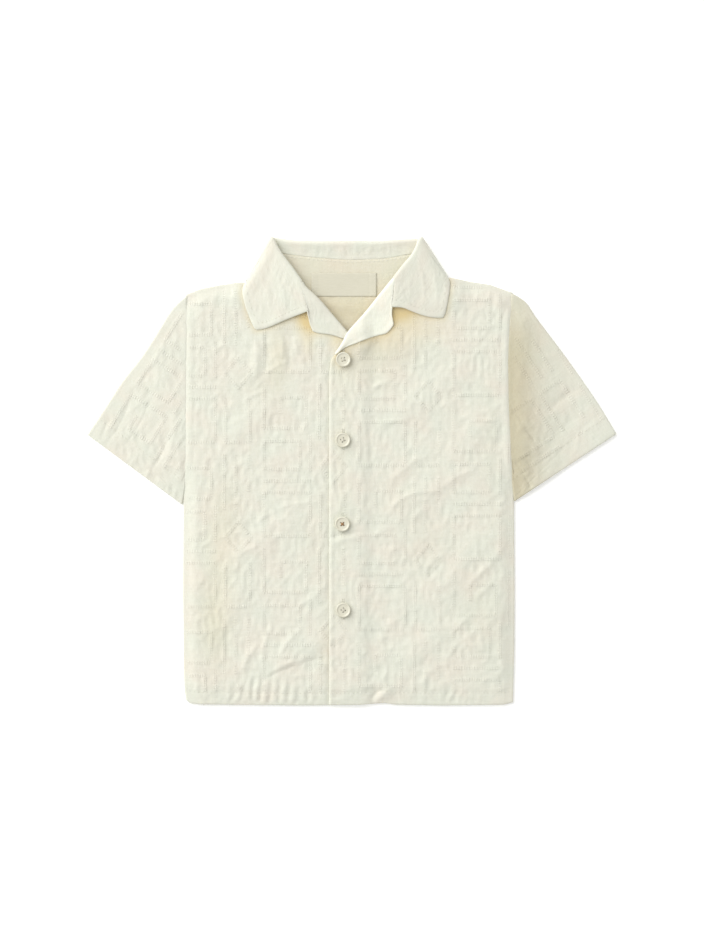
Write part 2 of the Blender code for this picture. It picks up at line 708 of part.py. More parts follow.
def collar(collection):
    right, left, behind = leaf_rows("right"), leaf_rows("left"), back_rows()
    out_r, out_l = leaf_frame("right")[2], leaf_frame("left")[2]
    rows = right + crease_rows(right[-1], behind[0], out_r) + behind
    rows += crease_rows(left[-1], behind[-1], out_l)[::-1] + left[::-1]
    columns = len(rows[0])
    verts = [point for row in rows for point in row]
    faces = grid_faces(len(rows) - 1, columns - 1, lambda j, i: j * columns + i)
    return thicken(object_from("collar", verts, faces, collection, "cloth", 0.9))


def sleeve(side, collection):
    """A flat sleeve: rings from the armhole to the cuff, open at both ends."""
    sign = -1 if side == "right" else 1
    outer = trace(SLEEVE_OUTER[side], SLEEVE_ROWS + 1)
    inner = spaced([ARMPIT[side], CUFF_INNER[side]], SLEEVE_ROWS + 1)
    start_across = unit(inner[0] - outer[0])
    ring_size = SLEEVE_TOP_STEPS + 1 + 3 + SLEEVE_BOTTOM_STEPS + 1 + 3
    rows = []
    for j in range(SLEEVE_ROWS + 1):
        t = j / SLEEVE_ROWS
        ring_top, ring_bottom = [], []
        first, last = outer[j], inner[j]
        across = unit(last - first)
        for steps, ring in ((SLEEVE_TOP_STEPS, ring_top), (SLEEVE_BOTTOM_STEPS, ring_bottom)):
            for s in np.linspace(0, 1, steps + 1):
                inset = HALF + SLEEVE_INSET
                point = mix(first + across * inset, last - across * inset, s)
                ends = min(s, 1 - s)
                clear = SEAM_GAP if ends > RING_END else SEAM_GAP + HALF
                seam = mix(outer[0] + start_across * inset, inner[0] - start_across * inset, s)
                point[0] += (1 - t) * (edge_x(side, seam[1]) + sign * clear - seam[0])
                at_armhole = edge_x(side, point[1]) + sign * clear
                point[0] = sign * max(sign * point[0], sign * at_armhole)
                body = right_mid(edge_x(side, point[1]), point[1])
                crown = SLEEVE_CROWN * soft(ends / CROWN_FADE) * math.sin(math.pi * min(1, 1.4 * t))
                cuff = mix(SLEEVE_EDGE_TOP, CUFF_TOP, soft(ends / CUFF_FADE))
                top = max(mix(float(body), cuff, soft(t)), SLEEVE_EDGE_TOP) + crown
                if ring is ring_top:
                    fold = fold_height(SLEEVE_FOLDS[side], point[0], point[1])
                    top += float(fold) * soft(ends / FOLD_FADE) * soft(t / FOLD_FADE)
                    ring.append((point[0], point[1], top))
                else:
                    ring.append((point[0], point[1], HALF))
        ring = list(ring_top)
        for start, stop, way in ((ring_top[-1], ring_bottom[-1], 1), (ring_bottom[0], ring_top[0], -1)):
            half = (start[2] - stop[2]) / 2
            for degrees in (45, 90, 135):
                a = math.radians(degrees)
                plan = np.array(start[:2]) + across * way * abs(half) * SLEEVE_BULGE * math.sin(a)
                limit = edge_x(side, plan[1]) + sign * (SEAM_GAP + HALF)
                plan[0] = sign * max(sign * plan[0], sign * limit)
                ring.append((plan[0], plan[1], (start[2] + stop[2]) / 2 + half * math.cos(a)))
            if way == 1:
                ring += ring_bottom[::-1]
        rows.append(ring)
    verts = [point for row in rows for point in row]
    faces = []
    for j in range(SLEEVE_ROWS):
        for i in range(ring_size):
            k = (i + 1) % ring_size
            low, high = j * ring_size, (j + 1) * ring_size
            faces.append((low + i, low + k, high + k, high + i))
    return thicken(object_from("sleeve_" + side, verts, faces, collection, "cloth", 0.9))


def label(collection):
    bpy.ops.mesh.primitive_cube_add(size=1)
    obj = bpy.context.object
    obj.name = "neck_label"
    obj.data.name = "neck_label"
    width, depth, thick = LABEL_SIZE
    floor = float(back_mid(*LABEL_CENTRE)) + HALF + GAP
    for vertex in obj.data.vertices:
        vertex.co = (vertex.co.x * width, vertex.co.y * depth, vertex.co.z * thick)
    obj.location = (*LABEL_CENTRE, floor + thick / 2)
    move_to(obj, collection)
    paint(obj, "label", 0.8)
    return obj


def move_to(obj, collection):
    for other in list(obj.users_collection):
        other.objects.unlink(obj)
    collection.objects.link(obj)


def button(number, place, collection, cutters):
    """A turned button with a raised rim, drilled with four holes."""
    radius, thick = BUTTON_RADIUS, BUTTON_THICK
    profile = [
        (0.0, thick - BUTTON_DISH), (radius - 2.2 * BUTTON_RIM, thick - BUTTON_DISH),
        (radius - BUTTON_RIM, thick), (radius - 0.4 * BUTTON_RIM, thick),
        (radius, thick - 0.5 * BUTTON_RIM), (radius, 0.35 * thick),
        (radius - 0.9 * BUTTON_RIM, 0.0), (0.0, 0.0),
    ]
    mesh = bpy.data.meshes.new(f"button_{number}")
    mesh.from_pydata([(x, 0.0, z) for x, z in profile], [(i, i + 1) for i in range(len(profile) - 1)], [])
    obj = bpy.data.objects.new(f"button_{number}", mesh)
    collection.objects.link(obj)
    x, y = place
    around = [(x + radius * math.cos(a), y + radius * math.sin(a)) for a in np.linspace(0, 2 * math.pi, 13)]
    seat = max(float(left_mid(px, py)) for px, py in around + [place]) + HALF + GAP
    obj.location = (x, y, seat)
    screw = obj.modifiers.new("Turn", "SCREW")
    screw.steps = BUTTON_SIDES
    screw.render_steps = BUTTON_SIDES
    screw.use_merge_vertices = True
    screw.merge_threshold = 0.00005
    bpy.ops.mesh.primitive_cylinder_add(vertices=HOLE_SIDES, radius=HOLE_RADIUS, depth=4 * thick)
    first = bpy.context.object
    first.name = f"button_{number}_hole_1"
    holes = [first]
    for k in range(2, 5):
        other = bpy.data.objects.new(f"button_{number}_hole_{k}", first.data)
        cutters.objects.link(other)
        holes.append(other)
    move_to(first, cutters)
    for k, hole in enumerate(holes):
        a = math.pi / 4 + k * math.pi / 2
        hole.location = (x + HOLE_OFFSET * math.cos(a), y + HOLE_OFFSET * math.sin(a), seat + thick / 2)
        hole.hide_render = True
        hole.display_type = "WIRE"
        cut = obj.modifiers.new(f"Hole {k + 1}", "BOOLEAN")
        cut.operation = "DIFFERENCE"
        cut.object = hole
    paint(obj, "button", 0.35)
    return obj


def main():
    for obj in list(bpy.data.objects):
        bpy.data.objects.remove(obj, do_unlink=True)
    shirt = bpy.data.collections.new("camp_collar_shirt")
    cutters = bpy.data.collections.new("cutters")
    for collection in (shirt, cutters):
        bpy.context.scene.collection.children.link(collection)
    back(shirt)
    front("right", shirt)
    front("left", shirt)
    sleeve("right", shirt)
    sleeve("left", shirt)
    collar(shirt)
    label(shirt)
    for number, place in enumerate(BUTTONS, 1):
        button(number, place, shirt, cutters)


main()
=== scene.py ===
import math

import bpy
import numpy as np
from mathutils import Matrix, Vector
from mathutils.bvhtree import BVHTree
from mathutils.kdtree import KDTree


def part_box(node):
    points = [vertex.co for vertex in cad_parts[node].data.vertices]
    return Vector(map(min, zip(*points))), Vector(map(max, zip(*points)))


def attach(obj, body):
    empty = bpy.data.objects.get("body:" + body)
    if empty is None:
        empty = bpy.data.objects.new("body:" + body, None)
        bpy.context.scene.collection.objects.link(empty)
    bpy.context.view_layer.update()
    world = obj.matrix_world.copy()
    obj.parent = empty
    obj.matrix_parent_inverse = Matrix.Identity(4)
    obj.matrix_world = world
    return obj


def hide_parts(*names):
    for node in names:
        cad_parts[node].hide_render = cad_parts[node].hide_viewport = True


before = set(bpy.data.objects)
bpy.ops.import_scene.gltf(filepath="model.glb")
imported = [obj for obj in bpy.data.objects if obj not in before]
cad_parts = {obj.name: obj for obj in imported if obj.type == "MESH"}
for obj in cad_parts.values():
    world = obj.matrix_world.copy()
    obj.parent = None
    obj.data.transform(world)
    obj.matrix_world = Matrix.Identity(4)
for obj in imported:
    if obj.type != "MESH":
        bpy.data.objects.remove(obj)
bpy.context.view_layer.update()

# child's camp collar shirt, laid flat and buttoned; metres, collar towards +Y, wearer's right at -X


# small maths

def smooth(t):
    t = np.clip(t, 0.0, 1.0)
    return t * t * (3 - 2 * t)


def ramp(v, start, end):
    return smooth((v - start) / (end - start))  # 0 at start, 1 at end


def between(a, b, t):
    return np.asarray(a, float) * (1 - t) + np.asarray(b, float) * t


def ridge(away, height, at, width):
    return height * np.exp(-((away - at) / width) ** 2)


def unit(v):
    v = np.asarray(v, float)
    return v / np.linalg.norm(v)


def curveThrough(points, fine=24):
    p = [np.asarray(q, float) for q in points]
    p = [2 * p[0] - p[1]] + p + [2 * p[-1] - p[-2]]
    line = []
    for i in range(1, len(p) - 2):
        a, b, c, d = p[i - 1:i + 3]
        for t in np.linspace(0, 1, fine, endpoint=False):
            line.append(0.5 * (2 * b + (c - a) * t + (2 * a - 5 * b + 4 * c - d) * t ** 2
                               + (3 * b - a - 3 * c + d) * t ** 3))
    line.append(p[-2])
    return np.array(line)


def evenly(line, count):
    line = np.asarray(line, float)
    steps = np.linalg.norm(np.diff(line, axis=0), axis=1)
    far = np.concatenate([[0], np.cumsum(steps)])
    at = np.linspace(0, far[-1], count)
    return np.stack([np.interp(at, far, line[:, k]) for k in range(line.shape[1])], axis=1)


def curveEvenly(points, count):
    return evenly(curveThrough(points), count)


def joinedCurves(parts, counts):
    first, second = (curveEvenly(part, count + 1) for part, count in zip(parts, counts))
    return np.concatenate([first, second[1:]])


def sideNormals(line, toward):
    line = np.asarray(line, float)
    along = np.gradient(line, axis=0)
    along /= np.linalg.norm(along, axis=1)[:, None]
    normal = np.stack([along[:, 1], -along[:, 0]], axis=1)
    return normal * np.sign(((np.asarray(toward) - line) * normal).sum(axis=1))[:, None]


def coonsPatch(low, high, left, right, share=None):
    # low and high run left to right, left and right run low to high
    chord = left[-1] - left[0]
    share = (left - left[0]) @ chord / (chord @ chord) if share is None else share
    v = share[:, None, None]
    u = np.linspace(0, 1, len(low))[None, :, None]
    corners = (1 - u) * ((1 - v) * low[0] + v * high[0]) + u * ((1 - v) * low[-1] + v * high[-1])
    return (1 - u) * left[:, None] + u * right[:, None] + (1 - v) * low[None] + v * high[None] - corners


def gridQuads(rows, columns):
    i = np.arange(rows)[:, None] * (columns + 1) + np.arange(columns)[None]
    return np.stack([i, i + 1, i + columns + 2, i + columns + 1], axis=-1).reshape(-1, 4)


# the shirt's cut and how it lies, shared by all the cloth

lie = {
    "solidHalf": 0.0006,      # half the wall of the solids, whose middle the cloth follows
    "step": 0.0015,           # from the middle of one layer to the next
    "loft": 0.0021,           # air between back and front
    "sideRound": 0.011,
    "hemRound": 0.016,
    "hemLoft": 0.35,
    "shoulderRound": 0.012,
    "armholeLoft": 0.75,
    "clothHalf": 0.00045,     # half the thickness of the crinkled cotton
    "plainHalf": 0.00062,     # at hems and facings, where it is double
}

bodyCut = {
    "sideRight": [
        (-0.1292, -0.1788), (-0.1308, -0.1680), (-0.1314, -0.1450), (-0.1318, -0.0900),
        (-0.1315, -0.0300), (-0.1310, 0.0300), (-0.1303, 0.0900), (-0.1297, 0.1369),
    ],
    "sideLeft": [
        (0.1250, -0.1806), (0.1261, -0.1400), (0.1263, -0.0900), (0.1258, -0.0230),
        (0.1250, 0.0130), (0.1233, 0.0490), (0.1227, 0.0850), (0.1248, 0.1385),
    ],
    "hem": [
        (-0.1292, -0.1788), (-0.1264, -0.1812), (-0.1180, -0.1820), (-0.0900, -0.1823),
        (-0.0400, -0.1828), (0.0050, -0.1824), (0.0200, -0.1812), (0.0260, -0.1810),
        (0.0340, -0.1822), (0.0700, -0.1828), (0.1180, -0.1822), (0.1250, -0.1806),
    ],
    "shoulderRight": [
        (-0.1297, 0.1369), (-0.1190, 0.1412), (-0.1055, 0.1440), (-0.0920, 0.1461),
        (-0.0865, 0.1465), (-0.0832, 0.1463), (-0.0806, 0.1456), (-0.0797, 0.1476),
        (-0.0615, 0.1692),
    ],
    "shoulderLeft": [
        (0.1248, 0.1385), (0.1197, 0.1402), (0.1078, 0.1445), (0.0923, 0.1469),
        (0.0800, 0.1495), (0.0760, 0.1502), (0.0733, 0.1498), (0.0715, 0.1492),
        (0.0707, 0.1512), (0.0517, 0.1692),
    ],
    "backNeck": [
        (-0.0615, 0.1695), (-0.0545, 0.1696), (-0.0378, 0.1674), (-0.0139, 0.1653),
        (0.0021, 0.1647), (0.0250, 0.1658), (0.0440, 0.1688), (0.0517, 0.1695),
    ],
    "neckMiddle": (-0.0050, 0.1500),
    "placketX": -0.0177,
    "underlapX": 0.0032,
    "toBreakRight": [(0.0032, 0.0600), (0.0032, 0.0900)],
    "toBreakLeft": [(-0.0177, 0.0500), (-0.0177, 0.0700), (-0.0172, 0.0800), (-0.0158, 0.0870)],
    "sideSplitY": 0.0680,
    "lapX": (0.0170, 0.0062),
    "backRiseY": (0.1180, 0.1335),
    "backRiseRight": (-0.1010, -0.0870),
    "backRiseLeft": (0.0930, 0.0780),
    "crossing": ((-0.0075, 0.1040), (0.0025, 0.1022)),
    "crossingHeight": 0.0022,
    "crossingReach": (0.0175, 0.0070),
}

# the broad folds that the solids have too: middle x, y, length, width, height in m, angle in degrees
broadFolds = [
    (-0.0560, 0.0960, 0.060, 0.0070, 0.0014, 96),
    (-0.0740, 0.0880, 0.050, 0.0070, 0.0011, 84),
    (-0.0380, 0.0880, 0.044, 0.0065, 0.0011, 78),
    (-0.0760, 0.0400, 0.070, 0.0095, 0.0013, 40),
    (-0.0700, -0.0560, 0.096, 0.0100, 0.0014, 42),
    (-0.0960, -0.1080, 0.070, 0.0095, 0.0013, 58),
    (-0.0440, -0.1420, 0.072, 0.0090, 0.0015, 24),
    (0.0620, 0.0620, 0.088, 0.0100, 0.0014, 35),
    (0.0940, 0.0260, 0.076, 0.0095, 0.0012, 48),
    (0.0560, -0.0180, 0.080, 0.0100, 0.0013, 38),
    (0.0840, -0.0760, 0.092, 0.0100, 0.0015, 46),
    (0.1020, -0.1240, 0.064, 0.0090, 0.0013, 56),
    (0.0560, -0.1360, 0.068, 0.0095, 0.0014, 40),
    (0.0250, -0.1680, 0.026, 0.0070, 0.0014, 110),
]
broadShare = 0.6  # the solids hold the folds a little fuller than the thin cloth


def tableAt(name, v, column):
    table = np.array(bodyCut[name])
    return np.interp(v, table[:, column], table[:, 1 - column])


def sideX(side, y):
    return tableAt("side" + side, y, 1)


def hemY(x):
    return tableAt("hem", x, 0)


def shoulderY(x):
    table = np.array(bodyCut["shoulderRight"] + bodyCut["backNeck"][1:-1] + bodyCut["shoulderLeft"][::-1])
    return np.interp(x, table[:, 0], table[:, 1])


def foldHeight(folds, x, y):
    total = np.zeros_like(np.asarray(x, float))
    for fx, fy, length, width, height, angle in folds:
        c, s = math.cos(math.radians(angle)), math.sin(math.radians(angle))
        along = (x - fx) * c + (y - fy) * s
        across = (y - fy) * c - (x - fx) * s
        ends = smooth((0.5 * length - np.abs(along)) / (0.3 * length))
        total = total + height * ends * np.exp(-(across / width) ** 2)
    return total


def backMid(x, y):
    x, y = np.asarray(x, float), np.asarray(y, float)
    rise = ramp(y, *bodyCut["backRiseY"])
    rise = rise * ramp(x, *bodyCut["backRiseRight"]) * ramp(x, *bodyCut["backRiseLeft"])
    return lie["solidHalf"] + lie["step"] * rise


def fromSide(x, y):
    return np.minimum(x - sideX("Right", y), sideX("Left", y) - x)


def rightMid(x, y, folded=True):
    x, y = np.asarray(x, float), np.asarray(y, float)
    inward = fromSide(x, y)
    armhole = lie["armholeLoft"] * ramp(y, -0.020, 0.015) * ramp(y, 0.136, 0.114)
    side = np.maximum(smooth(inward / lie["sideRound"]), armhole)
    hem = lie["hemLoft"] + (1 - lie["hemLoft"]) * smooth((y - hemY(x)) / lie["hemRound"])
    top = smooth((shoulderY(x) - y) / lie["shoulderRound"])
    inner = ramp(x, -0.0615, -0.0515) * ramp(x, 0.0517, 0.0417)
    top = np.maximum(top, inner)
    height = backMid(x, y) + lie["step"] + lie["loft"] * side * hem * top
    if folded:
        height = height + broadShare * foldHeight(broadFolds, x, y) * smooth(inward / 0.012) * top
    return height


def leftMid(x, y, folded=True):
    x, y = np.asarray(x, float), np.asarray(y, float)
    a, b = (np.array(p) for p in bodyCut["crossing"])
    d = b - a
    t = np.clip(((x - a[0]) * d[0] + (y - a[1]) * d[1]) / (d @ d), 0, 1)
    away = np.hypot(x - a[0] - t * d[0], y - a[1] - t * d[1])
    height = rightMid(x, y, folded) + lie["step"] * ramp(x, *bodyCut["lapX"])
    return height + bodyCut["crossingHeight"] * ramp(away, *bodyCut["crossingReach"])


frontMid = {"Right": rightMid, "Left": leftMid}


# creases, listed one by one: from x, y to x, y, half width, height, all in mm; below 0 is a trough

creases = {
    "frontRight": [
        (-67.3, 104.9, -68.9, 75.3, 1.6, -0.5), (-54.8, 104.1, -55.6, 84.6, 1.8, 0.7),  # under the leaf
        (-45.5, 103.4, -43.1, 89.3, 2.2, 0.8), (-75.1, 98.7, -76.7, 70.6, 2.0, 0.5),
        (-85.3, 53.4, -69.7, 62.0, 1.7, 0.55), (-68.9, 74.5, -51.7, 84.6, 1.7, 0.5),  # chest
        (-75.9, -42.5, -61.1, -31.6, 1.7, 0.55), (-90.7, -67.5, -74.3, -58.9, 1.7, 0.55),  # waist
        (-58.0, -29.2, -23.6, -24.6, 1.9, 0.4),
        (-57.2, -144.7, -42.4, -125.2, 2.2, 0.75), (-86.9, -157.6, -73.0, -134.6, 2.2, 0.75),  # low slant
        (-71.4, -154.2, -64.3, -122.7, 2.4, 0.6),
        (-33.8, -105.7, -20.5, -88.5, 2.0, 0.45),  # by the placket
        (-68.9, -163.4, -38.5, -150.9, 1.5, -0.5), (-40.8, -150.7, -19.0, -146.6, 1.5, -0.4),  # above the hem
        (-64.2, -158.0, -36.1, -146.2, 2.4, 0.7),
        (-118.8, 0.4, -106.3, 14.4, 2.2, 0.35), (-121.9, -93.2, -109.4, -74.5, 2.4, 0.35),  # side
    ],
    "frontLeft": [
        (15.4, 63.6, 31.0, 70.6, 1.7, 0.55),  # chest hook
        (-6.0, 44.0, -6.6, 31.0, 1.1, 0.22),  # pull over button two
        (17.7, 33.9, 42.7, 40.2, 2.2, 0.5), (45.0, 53.4, 73.1, 42.5, 2.4, 0.35),  # breast
        (30.2, -8.2, 58.3, 12.1, 2.4, 0.55), (28.6, -30.0, 45.8, -18.3, 2.0, 0.6),  # rib
        (43.4, -19.1, 70.0, -16.0, 2.0, 0.5), (70.7, -12.1, 94.9, 1.2, 2.2, 0.5),
        (-20.5, -53.4, 12.2, -48.0, 1.6, -0.6),  # below the third button
        (-14.3, -55.8, 7.6, -51.9, 1.8, 0.5),  # below it
        (14.6, -51.9, 29.4, -45.6, 1.6, 0.5),  # waist hook
        (46.6, -39.4, 56.7, -28.5, 2.0, 0.45), (28.6, -69.0, 35.6, -58.1, 2.2, 0.45),  # waist
        (88.7, -93.2, 109.7, -71.4, 2.2, 0.6), (106.6, -73.7, 117.5, -60.5, 2.4, 0.5),  # side
        (96.5, -101.8, 109.0, -87.8, 2.0, 0.5), (77.8, -127.5, 91.8, -113.5, 2.2, 0.55),
        (71.5, -154.1, 83.2, -133.0, 2.2, 0.45),
        (52.8, -81.5, 73.1, -63.6, 2.8, 0.4),  # belly
        (14.6, -178.2, 23.2, -170.4, 1.8, -0.9), (20.0, -179.8, 29.4, -169.7, 2.2, 0.8),  # hem crumple
        (-1.0, -177.5, -0.2, -154.1, 2.0, 0.4), (4.4, -155.6, 18.5, -160.3, 2.0, 0.4),
        (-18.2, -4.3, -11.2, -31.6, 1.2, 0.4), (-8.0, -15.2, -10.4, -33.1, 1.2, 0.4),  # to the third button
        (21.6, -132.2, 35.6, -115.0, 2.6, 0.35), (52.8, -171.2, 65.3, -150.9, 2.4, 0.4),  # low slant
    ],
    "sleeveRight": [
        (-156.2, 59.7, -180.4, 16.0, 1.8, -0.55), (-172.6, 57.3, -191.3, 21.4, 1.8, -0.5),  # long
        (-156.2, 80.7, -164.0, 69.0, 1.8, -0.4), (-164.0, 70.6, -156.2, 58.1, 1.8, -0.4),  # wave
        (-143.0, 30.0, -157.0, -1.2, 2.0, -0.5),  # inner
        (-160.9, 51.9, -175.7, 23.0, 2.2, 0.45),  # middle
        (-192.1, 40.2, -196.0, 24.6, 1.6, -0.4),  # near the fold
        (-137.5, 39.4, -148.4, 2.0, 2.4, 0.4),  # inner ridge
        (-146.9, 101.8, -157.8, 81.5, 2.4, 0.3),  # upper
        (-184.3, 14.4, -189.0, 6.6, 1.5, 0.4), (-170.3, 9.8, -175.0, 0.4, 1.5, 0.4),  # hem
        (-157.8, 2.0, -161.7, -7.4, 1.5, 0.4),
    ],
    "sleeveLeft": [
        (123.8, 46.9, 132.4, 38.3, 1.6, -0.7), (134.1, 32.0, 142.7, 21.7, 1.6, -0.9),  # from the armpit
        (145.0, 24.6, 149.5, 18.3, 1.2, -0.4), (131.8, 9.7, 140.4, 2.8, 1.3, -0.6),
        (134.7, 11.9, 143.2, 8.5, 1.2, -0.4),
        (126.1, 8.0, 134.1, -4.6, 1.6, -0.8), (134.1, -4.6, 139.8, -14.9, 1.6, -0.9),  # to the cuff
        (127.7, 39.4, 146.4, 8.2, 2.2, 0.5),  # from the armpit
        (153.3, 46.1, 178.4, 65.6, 2.6, -0.6), (152.6, 23.8, 183.8, 45.6, 3.2, -0.3),  # outer trough
        (144.8, 87.0, 166.7, 89.3, 2.4, 0.3),  # upper ridge
        (124.6, 133.0, 126.1, 117.4, 1.6, -0.5), (131.6, 131.4, 132.4, 119.0, 1.6, -0.4),  # cap
        (152.6, 0.4, 158.9, -7.4, 2.4, 0.35),  # hem
    ],
    # the back, which lies underneath, has the same kind of creases, laid in other places
    "back": [
        (-71.0, 88.0, -38.0, 61.0, 2.4, 0.35), (34.0, 66.0, 73.0, 92.0, 2.4, 0.35),  # shoulder blade
        (-58.0, -21.0, -14.0, -34.0, 2.6, 0.35), (12.0, -44.0, 49.0, -22.0, 2.4, 0.4),  # small of the back
        (-117.0, -66.0, -92.0, -38.0, 2.2, 0.4), (88.0, -112.0, 116.0, -84.0, 2.2, 0.4),  # side
        (-46.0, -151.0, 3.0, -139.0, 2.2, 0.4), (40.0, -163.0, 67.0, -142.0, 2.2, 0.4),  # above the hem
        (-20.0, 128.0, 21.0, 122.0, 2.0, 0.3),  # yoke
    ],
    "collarRight": [
        (-71.0, 152.0, -63.0, 121.0, 1.6, 0.3), (-61.0, 158.0, -52.0, 124.0, 1.6, 0.25),  # leaf
        (-52.0, 148.0, -44.0, 126.0, 1.6, 0.25),
    ],
    "collarLeft": [
        (62.0, 158.0, 66.0, 126.0, 1.6, 0.3), (53.0, 160.0, 55.0, 127.0, 1.6, 0.25),  # leaf
        (44.0, 150.0, 44.0, 131.0, 1.6, 0.25),
    ],
}

creaseShare = 1.35  # every crease stands this much higher than its row says

# short upright gathers just above the hem at the wearer's right: x, foot y, length, height in mm
gathers = [
    (-97.0, -179.0, 15, 0.35), (-89.5, -179.5, 19, 0.55), (-82.0, -180.0, 23, 0.7), (-75.5, -180.0, 27, 0.85),
    (-68.5, -180.5, 27, 0.9), (-61.5, -180.5, 24, 0.9), (-54.0, -180.5, 25, 0.85), (-46.5, -181.0, 20, 0.7),
    (-38.5, -181.0, 14, 0.5), (-31.0, -181.0, 11, 0.35),
]


def creaseHeight(rows, x, y):
    xMm, yMm = x * 1000, y * 1000
    total = np.zeros_like(xMm)
    for x1, y1, x2, y2, width, height in rows:
        length = math.hypot(x2 - x1, y2 - y1)
        dx, dy = (x2 - x1) / length, (y2 - y1) / length
        along = (xMm - x1) * dx + (yMm - y1) * dy
        across = (yMm - y1) * dx - (xMm - x1) * dy
        across = across - 0.05 * length * np.sin(math.pi * along / length)  # a slight bow
        ends = ramp(along, -0.15 * length, 0.3 * length) * ramp(along, 1.15 * length, 0.7 * length)
        total += creaseShare * height * ends * np.exp(0.3 - np.sqrt((across / width) ** 2 + 0.09))
    return total / 1000


gatherShape = {"share": 0.8, "lean": 0.12, "width": 1.9, "dip": 0.55, "dipAt": 3.4, "dipWidth": 1.5}


def gatherHeight(x, y):
    spec = gatherShape
    xMm, yMm = x * 1000, y * 1000
    total = np.zeros_like(xMm)
    for gx, foot, length, height in gathers:
        across = xMm - gx - (yMm - foot) * spec["lean"]
        ends = ramp(yMm, foot + length, foot + 0.35 * length) * ramp(yMm, foot - 2.5, foot + 2)
        dip = spec["dip"] * np.exp(-((across - spec["dipAt"]) / spec["dipWidth"]) ** 2)
        total += spec["share"] * height * ends * (np.exp(-(across / spec["width"]) ** 2) - dip)
    return total / 1000


def waves(seed, shortest, longest, count=36, stretch=1.0):
    rng = np.random.default_rng(seed)
    angle = rng.uniform(0, 2 * math.pi, count)
    length = shortest * (longest / shortest) ** rng.uniform(0, 1, count)
    phase = rng.uniform(0, 2 * math.pi, count)
    kx = 2 * math.pi * np.cos(angle) / length
    ky = 2 * math.pi * np.sin(angle) / length / stretch

    def field(x, y):
        flat = np.stack([np.ravel(x), np.ravel(y)], axis=1) * 1000
        total = np.zeros(len(flat))
        for a, b, c in zip(kx, ky, phase):
            total += np.sin(flat[:, 0] * a + flat[:, 1] * b + c)
        return (total / math.sqrt(count / 2)).reshape(np.shape(x))
    return field


crumple = {
    "large": waves(11, 9.0, 24.0, stretch=1.3),    # wavelengths in mm
    "small": waves(23, 3.4, 7.5, stretch=1.5),
    "largeHeight": 0.00024,
    "smallHeight": 0.000050,
}


def crumpleHeight(x, y):
    ridges = 1.0 - np.abs(crumple["large"](x, y))
    return crumple["largeHeight"] * ridges + crumple["smallHeight"] * crumple["small"](x, y)


# the raised stitched figure: plain squares, brackets, bars, a lozenge and a key, one repeat in mm

figure = {
    "tile": (74.0, 128.0),
    "shift": 55.0,             # each next column of repeats is set this much higher
    "pitch": 1.9,              # from stitch to stitch along a line
    "ridge": 0.00012,          # how high the cloth is drawn up along a line
    "ridgeWidth": 1.25,
    "clearOfSeam": 0.0025,     # no stitch this near to a side or a shoulder seam
    "lines": [
        [(5, 4), (41, 4), (41, 38), (5, 38), (5, 4)],
        [(49, 38), (49, 4), (68, 4), (68, 38)],
        [(5, 47), (41, 47)],
        [(59, 46), (69, 58), (59, 70), (49, 58), (59, 46)],
        [(5, 56), (33, 56), (33, 78), (5, 78), (5, 56)],
        [(41, 55), (41, 82)],
        [(5, 122), (5, 88), (38, 88), (38, 112), (18, 112), (18, 100)],
        [(48, 80), (48, 122)],
        [(57, 80), (57, 122)],
        [(67, 94), (67, 122)],
    ],
}


def figureDistance(u, v):
    width, height = figure["tile"]
    column = np.floor(u / width)
    localU = u - column * width
    localV = np.mod(v - figure["shift"] * column, height)
    nearest = np.full(np.shape(u), 99.0)
    for line in figure["lines"]:
        for (ax, ay), (bx, by) in zip(line[:-1], line[1:]):
            dx, dy = bx - ax, by - ay
            t = np.clip(((localU - ax) * dx + (localV - ay) * dy) / (dx * dx + dy * dy), 0, 1)
            nearest = np.minimum(nearest, np.hypot(localU - ax - t * dx, localV - ay - t * dy))
    return nearest


def figureHeight(place):
    x, y = place[..., 0], place[..., 1]
    away = figureDistance(x * 1000, y * 1000) / figure["ridgeWidth"]
    uneven = np.clip(0.75 + 0.55 * crumple["large"](x + 0.2, y), 0.1, 1.4)
    return figure["ridge"] * uneven * (np.exp(-away ** 2) - 0.4 * np.exp(-((away - 2.2) / 1.1) ** 2))


# materials

def linear(hexColour):
    values = [int(hexColour[i:i + 2], 16) / 255 for i in (1, 3, 5)]
    return (*(v / 12.92 if v <= 0.04045 else ((v + 0.055) / 1.055) ** 2.4 for v in values), 1.0)


def addNode(tree, kind, settings=None, values=None, links=None, stops=()):
    node = tree.nodes.new(kind)
    for key, value in (settings or {}).items():
        setattr(node, key, value)
    for key, value in (values or {}).items():
        node.inputs[key].default_value = value
    for key, source in (links or {}).items():
        tree.links.new(source, node.inputs[key])
    if stops:
        elements = node.color_ramp.elements
        elements[0].position, elements[1].position = stops[0][0], stops[-1][0]
        for position, _colour in stops[1:-1]:
            elements.new(position)
        for element, (_position, colour) in zip(elements, stops):
            element.color = colour
    return node


def newMaterial(name, finish):
    material = bpy.data.materials.new(name)
    material.use_nodes = True
    tree = material.node_tree
    surface = tree.nodes["Principled BSDF"]
    for key, value in finish.items():
        surface.inputs[key].default_value = value
    return material, tree, surface


